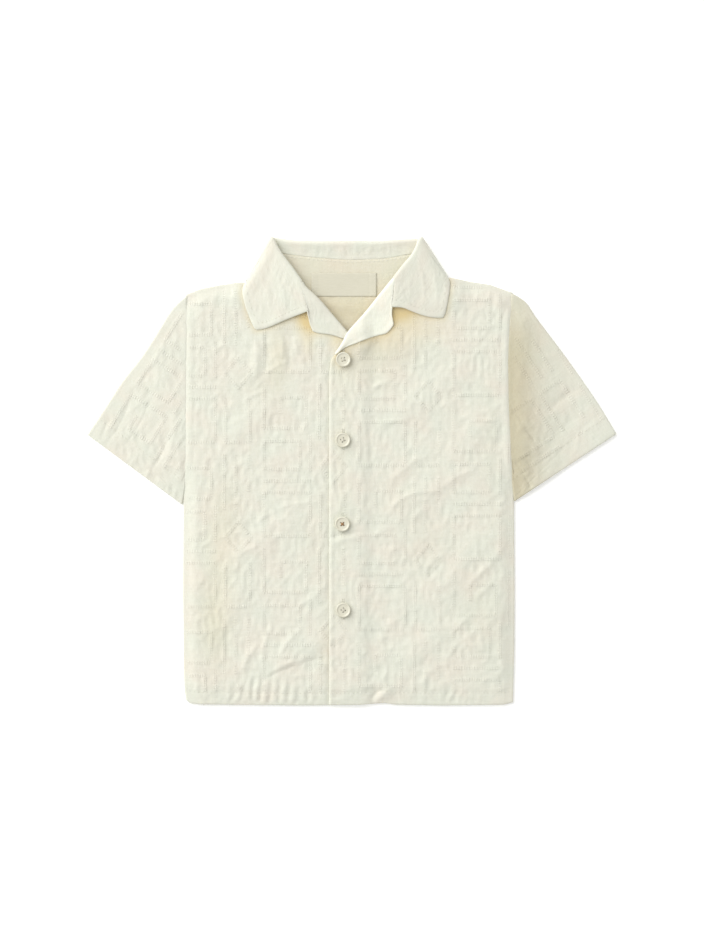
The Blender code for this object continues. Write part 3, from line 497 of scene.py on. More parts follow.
# crinkled double cotton, woven from slubby yarn: matt, with a slight warm and cool play of tone
crinkledCotton = {
    "ivory": "#dcdbcd",
    "warm": "#ddd9cb",
    "cool": "#dadbcd",
    "paintedShading": "#b3a886",       # painted shade: khaki where the cloth lies in its own shade
    "paintedGlow": "#dac798",         # painted light: golden, standing for light that comes through the cloth from behind
    "paintedLightGain": 1.20,            # painted light: where the painted shading runs below 0 (collar, lapels, lit side edges) the colour is raised up to this much; collar and lapels are not stitched over
    "patchMm": 24.0,
    "grainMm": 1.7,            # the real yarns are 0.4 mm apart, too fine to show; drawn coarser
    "slubMm": (1.5, 16.0),
    "grainDepth": 0.00023,
    "finish": {"Roughness": 0.86, "Specular IOR Level": 0.2, "IOR": 1.5, "Sheen Weight": 0.1,
               "Sheen Roughness": 0.5, "Subsurface Scale": 0.0010, "Subsurface Radius": (1.0, 1.0, 1.0)},
    "through": 0.30,           # light that passes through the cloth and softens its folds
    "stitchIvory": "#e0ded0",
    "stitchGrain": 0.6,        # the raised stitches are smoother than the cloth
}


def makeCotton(name, ivory, through, depth=1.0):
    look = crinkledCotton
    material, tree, surface = newMaterial(name, look["finish"])
    surface.inputs["Subsurface Weight"].default_value = through
    place = addNode(tree, "ShaderNodeAttribute", {"attribute_name": "clothPlace"})
    paintedShading = addNode(tree, "ShaderNodeAttribute", {"attribute_name": "paintedShading"})
    patches = addNode(tree, "ShaderNodeTexNoise", values={"Scale": 1000 / look["patchMm"], "Detail": 2.0},
                      links={"Vector": place.outputs["Vector"]})
    warmTintAndPaintedGlow = addNode(tree, "ShaderNodeValToRGB", links={"Fac": patches.outputs["Fac"]},
                     stops=[(0.36, linear(look["cool"])), (0.5, linear(ivory)), (0.66, linear(look["warm"]))])
    slubWide, slubLong = look["slubMm"]
    threads = []
    for wide, long in ((slubWide, slubLong), (slubLong, slubWide)):
        stretched = addNode(tree, "ShaderNodeMapping", values={"Scale": (1000 / wide, 1000 / long, 1.0)},
                            links={"Vector": place.outputs["Vector"]})
        threads.append(addNode(tree, "ShaderNodeTexNoise", values={"Scale": 1.0, "Detail": 1.5},
                               links={"Vector": stretched.outputs["Vector"]}))
    grain = addNode(tree, "ShaderNodeTexNoise",
                    values={"Scale": 1000 / look["grainMm"], "Detail": 2.5, "Roughness": 0.6},
                    links={"Vector": place.outputs["Vector"]})
    yarn = addNode(tree, "ShaderNodeMath", {"operation": "ADD"},
                   links={0: threads[0].outputs["Fac"], 1: threads[1].outputs["Fac"]})
    relief = addNode(tree, "ShaderNodeMath", {"operation": "MULTIPLY_ADD"}, {1: 0.45},
                     {0: yarn.outputs[0], 2: grain.outputs["Fac"]})
    streak = addNode(tree, "ShaderNodeMapRange",
                     values={"From Min": 0.75, "From Max": 1.25, "To Min": 0.985, "To Max": 1.015},
                     links={"Value": yarn.outputs[0]})
    # painted light: painted shading below 0 raises the colour, up to the gain at -1
    paintedLightGain = addNode(tree, "ShaderNodeMapRange",
                     values={"From Min": -1.0, "From Max": 0.0, "To Min": look["paintedLightGain"], "To Max": 1.0},
                     links={"Value": paintedShading.outputs["Fac"]})
    bright = addNode(tree, "ShaderNodeMath", {"operation": "MULTIPLY"},
                     links={0: streak.outputs["Result"], 1: paintedLightGain.outputs["Result"]})
    toned = addNode(tree, "ShaderNodeVectorMath", {"operation": "SCALE"},
                    links={0: warmTintAndPaintedGlow.outputs["Color"], "Scale": bright.outputs[0]})
    # painted shade: the khaki colour is mixed in as far as the painted shading attribute says
    shaded = addNode(tree, "ShaderNodeMix", {"data_type": "RGBA"}, {7: linear(look["paintedShading"])},
                     {"Factor": paintedShading.outputs["Fac"], 6: toned.outputs[0]})
    # painted light: the golden colour is mixed in as far as the painted glow attribute says
    paintedGlow = addNode(tree, "ShaderNodeAttribute", {"attribute_name": "paintedGlow"})
    glowing = addNode(tree, "ShaderNodeMix", {"data_type": "RGBA"}, {7: linear(look["paintedGlow"])},
                      {"Factor": paintedGlow.outputs["Fac"], 6: shaded.outputs[2]})
    tree.links.new(glowing.outputs[2], surface.inputs["Base Color"])
    bump = addNode(tree, "ShaderNodeBump", values={"Strength": 1.0, "Distance": look["grainDepth"] * depth},
                   links={"Height": relief.outputs[0]})
    tree.links.new(bump.outputs["Normal"], surface.inputs["Normal"])
    return material


cottonMaterial = makeCotton("crinkledCottonIvory", crinkledCotton["ivory"], crinkledCotton["through"])
stitchMaterial = makeCotton("seedStitchCotton", crinkledCotton["stitchIvory"], 0.0,
                            crinkledCotton["stitchGrain"])
print("materials for the cloth are ready")


# cloth: one surface in, one thin closed shell out

def setAttribute(mesh, name, kind, values):
    layer = mesh.attributes.new(name, kind, "POINT")
    field = "vector" if kind == "FLOAT_VECTOR" else "value"
    layer.data.foreach_set(field, np.ravel(values).astype(np.float32))


def vertexNormals(verts, quads):
    a, b, c, d = (verts[quads[:, k]] for k in range(4))
    faceNormal = np.cross(c - a, d - b)
    normal = np.zeros_like(verts)
    for k in range(4):
        np.add.at(normal, quads[:, k], faceNormal)
    return normal / np.maximum(np.linalg.norm(normal, axis=1), 1e-12)[:, None], faceNormal


def addMesh(name, verts, faces, material):
    mesh = bpy.data.meshes.new(name)
    mesh.from_pydata(verts.tolist(), [], faces)
    mesh.update()
    mesh.shade_smooth()
    mesh.materials.append(material)
    piece = bpy.data.objects.new(name, mesh)
    bpy.context.scene.collection.objects.link(piece)
    return piece


def addShell(name, verts, quads, place, half, paintedShading, material, paintedGlow=None):
    count = len(verts)
    normal, faceNormal = vertexNormals(verts, quads)
    starts = quads.ravel()
    ends = np.roll(quads, -1, axis=1).ravel()
    owner = np.repeat(np.arange(len(quads)), 4)
    key = np.minimum(starts, ends) * count + np.maximum(starts, ends)
    _key, first, uses = np.unique(key, return_index=True, return_counts=True)
    rim = first[uses == 1]
    rimStart, rimEnd, rimFace = starts[rim], ends[rim], owner[rim]
    out = np.zeros_like(verts)
    push = np.cross(verts[rimEnd] - verts[rimStart], faceNormal[rimFace])
    push /= np.maximum(np.linalg.norm(push, axis=1), 1e-12)[:, None]
    np.add.at(out, rimStart, push)
    np.add.at(out, rimEnd, push)
    onRim = np.linalg.norm(out, axis=1) > 1e-9
    rimIds = np.flatnonzero(onRim)
    out = out[rimIds] / np.linalg.norm(out[rimIds], axis=1)[:, None]
    thick = half.copy()
    thick[rimIds] *= 0.72  # the edge is rounded
    middle = verts[rimIds] + out * half[rimIds][:, None] * 0.8
    allVerts = np.concatenate([verts + normal * thick[:, None], verts - normal * thick[:, None], middle])
    where = np.zeros(count, int)
    where[rimIds] = np.arange(len(rimIds)) + 2 * count
    upper = np.stack([rimEnd, rimStart, where[rimStart], where[rimEnd]], axis=1)
    lower = np.stack([where[rimEnd], where[rimStart], rimStart + count, rimEnd + count], axis=1)
    faces = np.concatenate([quads, quads[:, ::-1] + count, upper, lower])
    piece = addMesh(name, allVerts, faces.tolist(), material)
    spread = np.concatenate([place, place, place[rimIds]])
    setAttribute(piece.data, "clothPlace", "FLOAT_VECTOR", np.column_stack([spread, np.zeros(len(spread))]))
    setAttribute(piece.data, "paintedShading", "FLOAT", np.concatenate([paintedShading, paintedShading, paintedShading[rimIds]]))
    if paintedGlow is not None:
        setAttribute(piece.data, "paintedGlow", "FLOAT", np.concatenate([paintedGlow, paintedGlow, paintedGlow[rimIds]]))
    return piece


def clothFinder(verts, quads, place, half):
    # finds the outside of the cloth over a point of its flat cut
    flat = [Vector((p[0], p[1], 0.0)) for p in place]
    tree = BVHTree.FromPolygons(flat, quads.tolist())
    normal, _ = vertexNormals(verts, quads)

    def find(u, v, side=1):
        _hit, _n, index, _d = tree.ray_cast(Vector((u, v, 1.0)), Vector((0, 0, -1)))
        if index is None:
            return None
        a, b, c, d = quads[index]
        point = Vector((u, v, 0.0))
        for tri in ((a, b, c), (a, c, d)):
            corners = [flat[k] for k in tri]
            area = (corners[1] - corners[0]).cross(corners[2] - corners[0]).z
            if abs(area) < 1e-14:
                continue
            w = [(corners[k - 2] - point).cross(corners[k - 1] - point).z / area for k in range(3)]
            if min(w) > -0.02:
                spot, n, h = (sum(wk * row[i] for wk, i in zip(w, tri)) for row in (verts, normal, half))
                n = unit(n)
                return spot + n * h * side, n * side
        return None
    return find


def toneMap(verts, paintedShading, paintedGlow=None):
    tree = KDTree(len(verts))
    for i, v in enumerate(verts):
        tree.insert(v, i)
    tree.balance()
    return tree, paintedShading, np.zeros(len(verts)) if paintedGlow is None else paintedGlow


def addGrains(name, spots, size, tones, material):
    # low domes, each with its middle, outward normal and length direction
    length, width, height = size
    angles = np.arange(5) * 2 * math.pi / 5
    verts, faces, places = [], [], []
    for centre, normal, along, place in spots:
        across = np.cross(normal, along)
        start = len(verts)
        ring = [np.cos(a) * along * length / 2 + np.sin(a) * across * width / 2 for a in angles]
        verts += [centre + r - normal * 0.00012 for r in ring]
        verts += [centre + r * 0.72 + normal * height * 0.72 for r in ring]
        verts.append(centre + normal * height)
        for k in range(5):
            n = (k + 1) % 5
            faces.append((start + k, start + n, start + 5 + n, start + 5 + k))
            faces.append((start + 5 + k, start + 5 + n, start + 10))
        faces.append(tuple(start + k for k in range(4, -1, -1)))
        places += [place] * 11
    piece = addMesh(name, np.array(verts), faces, material)
    setAttribute(piece.data, "clothPlace", "FLOAT_VECTOR", np.array(places))
    if tones:  # as dull or as warm as the cloth they are sewn into, with its painted shade and painted glow
        tree, paintedShading, paintedGlow = tones
        near = [tree.find(spot[0])[1] for spot in spots]
        setAttribute(piece.data, "paintedShading", "FLOAT", paintedShading[near].repeat(11))
        setAttribute(piece.data, "paintedGlow", "FLOAT", paintedGlow[near].repeat(11))
    return piece


seedStitch = {"length": 0.0019, "width": 0.00105, "height": 0.00017, "slant": 34.0, "apart": 0.00066}


def stitchFigure(name, find, place, tones, pair=True, side=1, inside=None):
    width, height = figure["tile"]
    low, high = place.min(axis=0) * 1000, place.max(axis=0) * 1000
    spots = []
    for column in range(int(low[0] // width) - 1, int(high[0] // width) + 2):
        offset = figure["shift"] * column
        for row in range(int((low[1] - offset) // height) - 1, int((high[1] - offset) // height) + 2):
            corner = np.array([column * width, row * height + offset])
            for line in figure["lines"]:
                path = np.array(line, float) + corner
                length = np.linalg.norm(np.diff(path, axis=0), axis=1).sum()
                steps = evenly(path, max(2, int(length / figure["pitch"]) + 1))
                for k, (u, v) in enumerate(steps / 1000):
                    if not (low[0] < u * 1000 < high[0] and low[1] < v * 1000 < high[1]):
                        continue
                    ahead = steps[min(k + 1, len(steps) - 1)] - steps[max(k - 1, 0)]
                    found = find(u, v, side)
                    further = find(u + unit(ahead)[0] * 0.0006, v + unit(ahead)[1] * 0.0006, side)
                    if found is None or further is None or (inside and not inside(found[0])):
                        continue
                    centre, normal = found
                    along = unit(further[0] - centre)
                    across = np.cross(normal, along)
                    for way in ((1, -1) if pair else (0,)):
                        turn = math.radians(90 - way * seedStitch["slant"])
                        grain = along * math.cos(turn) + across * math.sin(turn) if way else across
                        middle = centre + across * way * seedStitch["apart"]
                        spots.append((middle, normal, unit(grain), (u, v, 0.0)))
    scale = 1.0 if pair else 1.25
    size = (seedStitch["length"] * scale, seedStitch["width"] * scale, seedStitch["height"])
    return addGrains(name, spots, size, tones, stitchMaterial)


def stitchRow(find, path, pitch=0.0032, side=1):
    # a row of lockstitches along a line of the flat cut
    path = np.asarray(path, float)
    total = np.linalg.norm(np.diff(path, axis=0), axis=1).sum()
    steps = evenly(path, max(2, int(total / pitch)))
    spots = []
    for k, (u, v) in enumerate(steps):
        ahead = unit(steps[min(k + 1, len(steps) - 1)] - steps[max(k - 1, 0)])
        found, further = find(u, v, side), find(u + ahead[0] * 0.0005, v + ahead[1] * 0.0005, side)
        if found is None or further is None:
            continue
        spots.append((found[0], found[1], unit(further[0] - found[0]), (u, v, 0.0)))
    return spots


def lay(slot, *pieces):
    for piece in pieces:
        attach(piece, "root")


def wear(piece, flat, area, nodes, extras=()):
    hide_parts(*nodes)
    lay("cloth", piece, *extras)


lockStitch = {"size": (0.0024, 0.00055, 0.00025), "hem": 0.0090, "cuff": 0.0150}


# back panel

backPiece = {
    "columns": 132, "rows": 176,
    "calmEdge": 0.012, "calmShoulder": 0.008,   # flat this near to its edges
    "relief": (-0.00012, 0.0006),
    "neckPaintedShade": (0.20, 0.12),                 # painted shade and painted golden glow at the front of the neck, then deep in it
    "neckPaintedGlow": (0.36, 0.14),
    "flat": (0.262, 0.352), "area": 0.0885,
}


def clearOfSeams(point):
    x, y = point[:2]
    return min(float(fromSide(x, y)), float(shoulderY(x)) - y) > figure["clearOfSeam"]


def makeBack():
    upper = np.concatenate([
        np.array(bodyCut["shoulderRight"])[:-1], np.array(bodyCut["backNeck"]) - (0.0, 0.0005),
        np.array(bodyCut["shoulderLeft"])[-2::-1],
    ])
    spec = backPiece
    columns, rows = spec["columns"], spec["rows"]
    plan = coonsPatch(
        evenly(bodyCut["hem"], columns + 1), evenly(upper, columns + 1),
        evenly(bodyCut["sideRight"], rows + 1), evenly(bodyCut["sideLeft"], rows + 1),
    )
    x, y = plan[..., 0], plan[..., 1]
    inner = smooth(fromSide(x, y) / spec["calmEdge"]) * smooth((y - hemY(x)) / spec["calmEdge"])
    inner = inner * smooth((shoulderY(x) - y) / spec["calmShoulder"])
    relief = 0.5 * crumpleHeight(x + 0.4, y) + figureHeight(plan) + creaseHeight(creases["back"], x, y)
    z = backMid(x, y) + np.clip(relief, *spec["relief"]) * inner
    verts = np.dstack([plan, z]).reshape(-1, 3)
    quads = gridQuads(rows, columns)
    place = plan.reshape(-1, 2)
    half = np.full(len(verts), lie["clothHalf"])
    # painted shade and painted glow on the back where it shows inside the neck opening
    neck = ramp(y, 0.086, 0.125) * ramp(np.abs(x + 0.005), 0.075, 0.055)
    deep = smooth((y - 0.122) / 0.036)
    paintedShading = np.ravel(between(*spec["neckPaintedShade"], deep) * neck)
    paintedGlow = np.ravel(between(*spec["neckPaintedGlow"], deep) * neck)
    piece = addShell("backCloth", verts, quads, place, half, paintedShading, cottonMaterial, paintedGlow)
    find = clothFinder(verts, quads, place, half)
    under = stitchFigure("backStitching", find, place, None, pair=False, side=-1, inside=clearOfSeams)
    hem = evenly(np.array(bodyCut["hem"])[1:-1] + (0, lockStitch["hem"]), 200)
    spots = stitchRow(find, hem, side=-1)
    neckSeam = np.array(bodyCut["backNeck"])[1:-1] - (0, 0.0022)
    spots += stitchRow(find, neckSeam)
    rowPiece = addGrains("backTopstitch", spots, lockStitch["size"], None, stitchMaterial)
    wear(piece, spec["flat"], spec["area"], ["back"], [under, rowPiece])


makeBack()
print("back is laid")


# fronts, each with its lapel turned out along the roll

# the free edge of the collar's fall on each side: along the notch to the tip, then up to the shoulder
fallEdge = {
    "Right": [
        [(-0.0348, 0.1244), (-0.0497, 0.1187), (-0.0658, 0.1118), (-0.0745, 0.1100)],
        [(-0.0745, 0.1100), (-0.0766, 0.1122), (-0.0819, 0.1247), (-0.0849, 0.1354), (-0.0852, 0.1426)],
    ],
    "Left": [
        [(0.0313, 0.1278), (0.0397, 0.1271), (0.0480, 0.1238), (0.0570, 0.1208), (0.0647, 0.1195),
         (0.0707, 0.1195)],
        [(0.0707, 0.1195), (0.0725, 0.1235), (0.0743, 0.1324), (0.0755, 0.1402), (0.0758, 0.1474)],
    ],
}

lapelCut = {
    "rollRight": [
        (0.0032, 0.1013), (-0.0037, 0.1086), (-0.0139, 0.1205), (-0.0258, 0.1342),
        (-0.0348, 0.1426), (-0.0385, 0.1475),
    ],
    "rollLeft": [
        (-0.0138, 0.0915), (-0.0102, 0.0965), (-0.0072, 0.1015), (-0.0035, 0.1085),
        (0.0092, 0.1229), (0.0211, 0.1378), (0.0313, 0.1504),
    ],
    "edgeRight": [
        [(0.0008, 0.1003), (-0.0080, 0.1035), (-0.0168, 0.1062), (-0.0258, 0.1074), (-0.0305, 0.1088)],
        [(-0.0305, 0.1088), (-0.0327, 0.1140), (-0.0342, 0.1205), (-0.0344, 0.1244)],
    ],
    "edgeLeft": [
        [(-0.0112, 0.0913), (-0.0062, 0.0958), (0.0033, 0.0996), (0.0122, 0.1032),
         (0.0200, 0.1056), (0.0265, 0.1074), (0.0301, 0.1109)],
        [(0.0301, 0.1109), (0.0319, 0.1145), (0.0307, 0.1205), (0.0308, 0.1278)],
    ],
    "cornerRight": 0.6,
    "cornerLeft": 0.7,
    "turn": (0.0009, 0.0019),      # radius of the roll at the break and at the collar
    "notchLift": 0.0022,
    "flatten": 1.4,
    "gorgeBowRight": 0.0010,
    "gorgeBowLeft": -0.0006,
    "gorgeGapRight": -0.0001,
    "gorgeGapLeft": -0.0001,
}

frontPiece = {
    "columns": 116, "toBreak": 256, "alongRoll": 60, "alongNeck": 18, "lapelSteps": 30,
    "turnAngles": (22, 45, 67, 90, 112, 135, 158, 180),
    "seamGap": 0.0005, "standTuck": 0.0026,
    "armholeRidge": (0.0006, 0.0045, 0.0035),              # height, place and half width of a ridge
    "armholeDipRight": 0.0002, "armholeDipLeft": 0.0007,   # and down at the seam itself
    "hemGroove": (0.00022, lockStitch["hem"], 0.0011),
    "placketBead": (0.00030, 0.0016, 0.0016),
    "lapelBead": (0.00010, 0.90, 0.10),                    # placed by its share of the lapel's width
    "lapelBulge": 0.00025, "lapelSettle": 0.00045,
    "underCollar": 0.75,                                   # so much of the relief is pressed flat there
    "flat": (0.150, 0.352), "areaRight": 0.0430, "areaLeft": 0.0450,
}


# where the cloth sags a little and is drawn duller, as painted shade, and below 0 drawn paler, as painted
# light: middle x, y, half width, half height in mm, how much
paintedShadingAreas = {
    "Right": [
        (-129, 60, 4, 80, -0.25), (-58, 96, 7, 22, 0.16), (-110, -118, 13, 34, 0.13),
        (-96, -30, 12, 26, 0.08), (-70, 66, 14, 12, 0.08), (-30, -60, 10, 30, 0.05),
    ],
    "Left": [
        (127, 10, 7, 120, -0.22), (108, 20, 9, 60, 0.06), (100, -110, 16, 30, 0.08),
        (60, -60, 18, 20, 0.06), (30, 92, 22, 10, 0.14), (36, -20, 12, 16, 0.05),
    ],
}

# and painted glow where light through the cloth would make it more golden or pinker, most of all in the
# notches of the collar
paintedGlowAreas = {
    "Right": [
        (-36.5, 118, 8, 9.5, 0.95), (-34.5, 104, 6, 13, 0.30), (-103, -60, 13, 40, 0.13),
        (-106, -118, 11, 30, 0.13), (-58, 84, 9, 24, 0.10), (-20, -140, 6, 16, 0.08), (-12, 100, 6, 6, 0.30),
    ],
    "Left": [
        (37.5, 123.5, 12, 8.5, 0.95), (43, 114, 22, 9, 0.22), (23, 103, 24, 9, 0.30),
        (-8.5, 88, 6.5, 7, 0.40), (8, 84, 30, 18, 0.12), (-8, 10, 6, 90, 0.05), (60, 108, 20, 9, 0.10),
    ],
}
paintedEdgeGlow = {"warmTintAndPaintedGlow": 0.32, "reach": 0.0036}  # painted glow: the cloth is tinted warm too in the shade beside the collar and lapel that lie over it
lapelPaintedLight = {"Right": -0.05, "Left": -1.0}     # painted light: below 0 the cloth is drawn paler


def areaTone(areas, x, y):
    return sum(amount * np.exp(-((x * 1000 - px) / wide) ** 2 - ((y * 1000 - py) / tall) ** 2)
               for px, py, wide, tall, amount in areas)


def lapelRoll(side):
    line = curveEvenly(lapelCut["roll" + side], frontPiece["alongRoll"] + 1)
    normal = sideNormals(line, bodyCut["neckMiddle"])
    small, large = lapelCut["turn"]
    radius = between(small, large, np.linspace(0, 1, len(line)) ** 0.8)
    return line - normal * (radius + lie["solidHalf"])[:, None], normal, radius


def gorgeLine(side, base, shift, steps):
    notch = np.array(lapelCut["edge" + side][1][-1])
    t = np.linspace(0, 1, steps + 1)
    line = between(base, notch, t[:, None])
    away = -1.0 if side == "Right" else 1.0
    line[:, 0] += lapelCut["gorgeBow" + side] * np.sin(np.pi * t) + away * shift * lapelCut["gorgeGap" + side]
    return line


def gorgeHeights(side, base, radius, steps):
    line = gorgeLine(side, base, 0, steps)
    t = np.linspace(0, 1, steps + 1)
    contact = frontMid[side](line[:, 0], line[:, 1]) + lie["step"]
    fade = (1 - t) ** lapelCut["flatten"]
    return contact + (2 * radius - lie["step"]) * fade + lapelCut["notchLift"] * t ** 2


def standFoot(side):
    base, normal, _radius = lapelRoll(side)
    neck = bodyCut["backNeck"][0] if side == "Right" else bodyCut["backNeck"][-1]
    return base[-1] - normal[-1] * frontPiece["standTuck"], np.array(neck)


def frontRelief(side, x, y, place):
    spec = frontPiece
    inward = fromSide(x, y)
    calm = smooth(inward / 0.010) * ramp(shoulderY(x) - y, 0.0, 0.010)
    covered = ramp(y, 0.100, 0.114) * ramp(x, -0.092, -0.080) * ramp(x, 0.082, 0.070)
    relief = crumpleHeight(x, y) + figureHeight(place) + creaseHeight(creases["front" + side], x, y)
    relief = relief * calm * (1 - spec["underCollar"] * covered)
    atSleeve = ramp(y, -0.030, 0.005) * ramp(y, 0.140, 0.120)
    relief += ridge(inward, *spec["armholeRidge"]) * atSleeve
    relief -= spec["armholeDip" + side] * ramp(inward, 0.0030, 0.0) * atSleeve
    hem = y - hemY(x)
    relief += gatherHeight(x, y) * ramp(inward, 0, 0.01) if side == "Right" else 0.0
    relief *= 1 - 0.5 * ramp(hem, 0.004, 0.0)
    relief -= ridge(hem, *spec["hemGroove"]) * ramp(inward, 0.001, 0.006)
    if side == "Right":
        relief = np.where(relief > 0, relief * (1 - 0.8 * ramp(x, -0.0215, -0.0175)), relief)
        relief -= 0.0003 * ramp(x, -0.0225, -0.0180)
    else:
        relief += ridge(x - bodyCut["placketX"], *spec["placketBead"]) * ramp(y, 0.100, 0.085)
    return relief


def makeFront(side):
    mid = frontMid[side]
    spec = frontPiece
    base, normal, radius = lapelRoll(side)
    edgeX = bodyCut["underlapX"] if side == "Right" else bodyCut["placketX"]
    corner = (edgeX, float(hemY(edgeX)))
    upper = curveThrough(bodyCut["toBreak" + side] + [base[0]])
    placket = evenly(np.concatenate([[corner], upper]), spec["toBreak"] + 1)
    start, neck = standFoot(side)
    along = unit(base[-2] - base[-1])
    seam = unit(neck - start)
    out = np.array([-seam[1], seam[0]]) * (1 if side == "Right" else -1)
    foot = start + along * spec["seamGap"] + out * spec["seamGap"]
    neckEnd = neck + out * spec["seamGap"] - seam * 0.0003
    neckline = evenly([base[-1], neckEnd], spec["alongNeck"] + 1)
    tuck = (evenly([foot, neckEnd], spec["alongNeck"] + 1) - neckline)[1:]
    tuck *= smooth(np.arange(1, spec["alongNeck"] + 1) / 6)[:, None]
    roll = base.copy()
    roll[-1] += along * lapelCut["gorgeGap" + side]
    inner = np.concatenate([placket, roll[1:], neckline[1:]])
    rows, columns = len(inner) - 1, spec["columns"]
    low = evenly(bodyCut["side" + side], 600)
    split = np.searchsorted(low[:, 1], bodyCut["sideSplitY"])
    outer = np.concatenate([
        evenly(low[:split + 1], spec["toBreak"] + 1), evenly(low[split:], rows - spec["toBreak"] + 1)[1:],
    ])
    hem = evenly(bodyCut["hem"], 1200)
    hem = hem[hem[:, 0] <= edgeX] if side == "Right" else hem[hem[:, 0] >= edgeX][::-1]
    hem = evenly(np.concatenate([hem, [corner]]), columns + 1)
    shoulder = evenly(bodyCut["shoulder" + side], columns + 1)
    shoulder[-1] = neckline[-1]
    heights = (outer[:, 1] - outer[0, 1]) / (outer[-1, 1] - outer[0, 1])
    plan = coonsPatch(hem, shoulder, outer, inner, heights)
    tuckFade = smooth(1 - np.arange(columns, -1, -1) / 9)
    plan[-spec["alongNeck"]:] += tuck[:, None] * tuckFade[None, :, None]
    x, y = plan[..., 0], plan[..., 1]
    relief = frontRelief(side, x, y, plan)
    fadeRoll = np.ones((rows + 1, columns + 1))
    fadeRoll[spec["toBreak"]:, :] *= 1 - 0.9 * ramp(np.arange(columns + 1), columns - 14, columns)[None]
    z = mid(x, y) + relief * fadeRoll
    verts = np.dstack([plan, z]).reshape(-1, 3).tolist()
    place = plan.reshape(-1, 2).tolist()
    quads = gridQuads(rows, columns).tolist()
    hemBand = ramp(y - hemY(x), lockStitch["hem"] + 0.001, lockStitch["hem"] - 0.001)
    half = np.ravel(lie["clothHalf"] + (lie["plainHalf"] - lie["clothHalf"]) * hemBand).tolist()

    cornerRow = round(lapelCut["corner" + side] * spec["alongRoll"])
    edge = joinedCurves(lapelCut["edge" + side], (cornerRow, spec["alongRoll"] - cornerRow))
    steps = np.linspace(0, 1, spec["lapelSteps"] + 1)
    fade = (1 - steps) ** lapelCut["flatten"]
    strip = []
    for k in range(spec["alongRoll"] + 1):
        panel = (spec["toBreak"] + k) * (columns + 1) + columns
        px, py, level = verts[panel]
        points = []
        for degrees in spec["turnAngles"]:
            a = math.radians(degrees)
            reach = np.array([px, py]) + normal[k] * radius[k] * math.sin(a)
            points.append((*reach, level + radius[k] * (1 - math.cos(a))))
        if k == spec["alongRoll"]:
            line = gorgeLine(side, base[-1], -1, spec["lapelSteps"])
            line[0] = (px, py)
            tops = gorgeHeights(side, base[-1], radius[k], spec["lapelSteps"])
        else:
            line = between((px, py), edge[k], steps[:, None])
            notch = lapelCut["notchLift"] * steps ** 2 * smooth((k / spec["alongRoll"] - 0.6) / 0.4)
            tops = mid(line[:, 0], line[:, 1]) + lie["step"] + (2 * radius[k] - lie["step"]) * fade + notch
        bulge = spec["lapelBulge"] * np.sin(np.pi * np.minimum(1, steps * 1.15))
        bulge = bulge + ridge(steps, *spec["lapelBead"]) - spec["lapelSettle"] * smooth(steps / 0.9)
        crinkle = 0.6 * np.abs(crumpleHeight(line[:, 0] + 0.7, line[:, 1])) * np.sin(np.pi * steps) ** 0.5
        tops = tops + (bulge + crinkle) * min(1, k / 8)
        points += [(a, b, h) for (a, b), h in zip(line[1:], tops[1:])]
        first = len(verts)
        full = np.array([verts[panel]] + points)
        travelled = np.cumsum(np.linalg.norm(np.diff(full, axis=0), axis=1))
        verts.extend(points)
        place.extend([tuple(np.array([px, py]) + normal[k] * d) for d in travelled])
        half.extend([lie["clothHalf"] + 0.0001 * min(1, i / 6) for i in range(len(points))])
        strip.append([panel] + list(range(first, first + len(points))))
    for low, high in zip(strip[:-1], strip[1:]):
        quads += [[low[i], low[i + 1], high[i + 1], high[i]] for i in range(len(low) - 1)]

    verts, place, half = np.array(verts, float), np.array(place, float), np.array(half)
    quads = np.array(quads)
    if side == "Left":
        quads = quads[:, ::-1]
    vx, vy = verts[:, 0], verts[:, 1]
    over = np.concatenate([edge, joinedCurves(fallEdge[side], (40, 30))])
    near = np.array([np.hypot(over[:, 0] - a, over[:, 1] - b).min() for a, b in verts[:, :2]])
    # painted glow: golden in the listed areas and beside the edges of the collar and lapel above
    warmTintAndPaintedGlow = areaTone(paintedGlowAreas[side], vx, vy) + ridge(near, paintedEdgeGlow["warmTintAndPaintedGlow"], 0.0, paintedEdgeGlow["reach"])
    onPanel = np.arange(len(verts)) < (rows + 1) * (columns + 1)
    # painted shading on the panel, painted light on the lapel
    paintedShading = np.where(onPanel, areaTone(paintedShadingAreas[side], vx, vy), lapelPaintedLight[side])
    paintedGlow = np.where(onPanel, np.clip(warmTintAndPaintedGlow, 0, 1), 0.0)
    name = "front" + side
    piece = addShell(name + "Cloth", verts, quads, place, half, paintedShading, cottonMaterial, paintedGlow)
    tones = toneMap(verts, paintedShading, paintedGlow)
    find = clothFinder(verts, quads[:rows * columns], place, half)

    def stitched(point):
        fromPlacket = point[0] - bodyCut["placketX"]
        clearOfPlacket = fromPlacket <= -0.001 if side == "Right" else fromPlacket >= 0.0015
        aboveHem = point[1] - float(hemY(point[0])) > lockStitch["hem"] + 0.0008
        return clearOfPlacket and aboveHem and clearOfSeams(point)

    figurePiece = stitchFigure(name + "Stitching", find, place[onPanel], tones, inside=stitched)
    hemLine = evenly(bodyCut["hem"], 400) + (0, lockStitch["hem"])
    fromEdge = (hemLine[:, 0] - edgeX) * (-1 if side == "Right" else 1)
    hemLine = hemLine[fromEdge >= 0.001]
    spots = stitchRow(find, hemLine)
    rowPiece = addGrains(name + "Topstitch", spots, lockStitch["size"], tones, stitchMaterial)
    extras = [figurePiece, rowPiece]
    wear(piece, spec["flat"], spec["area" + side], ["front_" + side.lower()], extras)
    return find


findFront = {side: makeFront(side) for side in ("Right", "Left")}
print("fronts are laid")


# sleeves: flat tubes from the armhole to the cuff

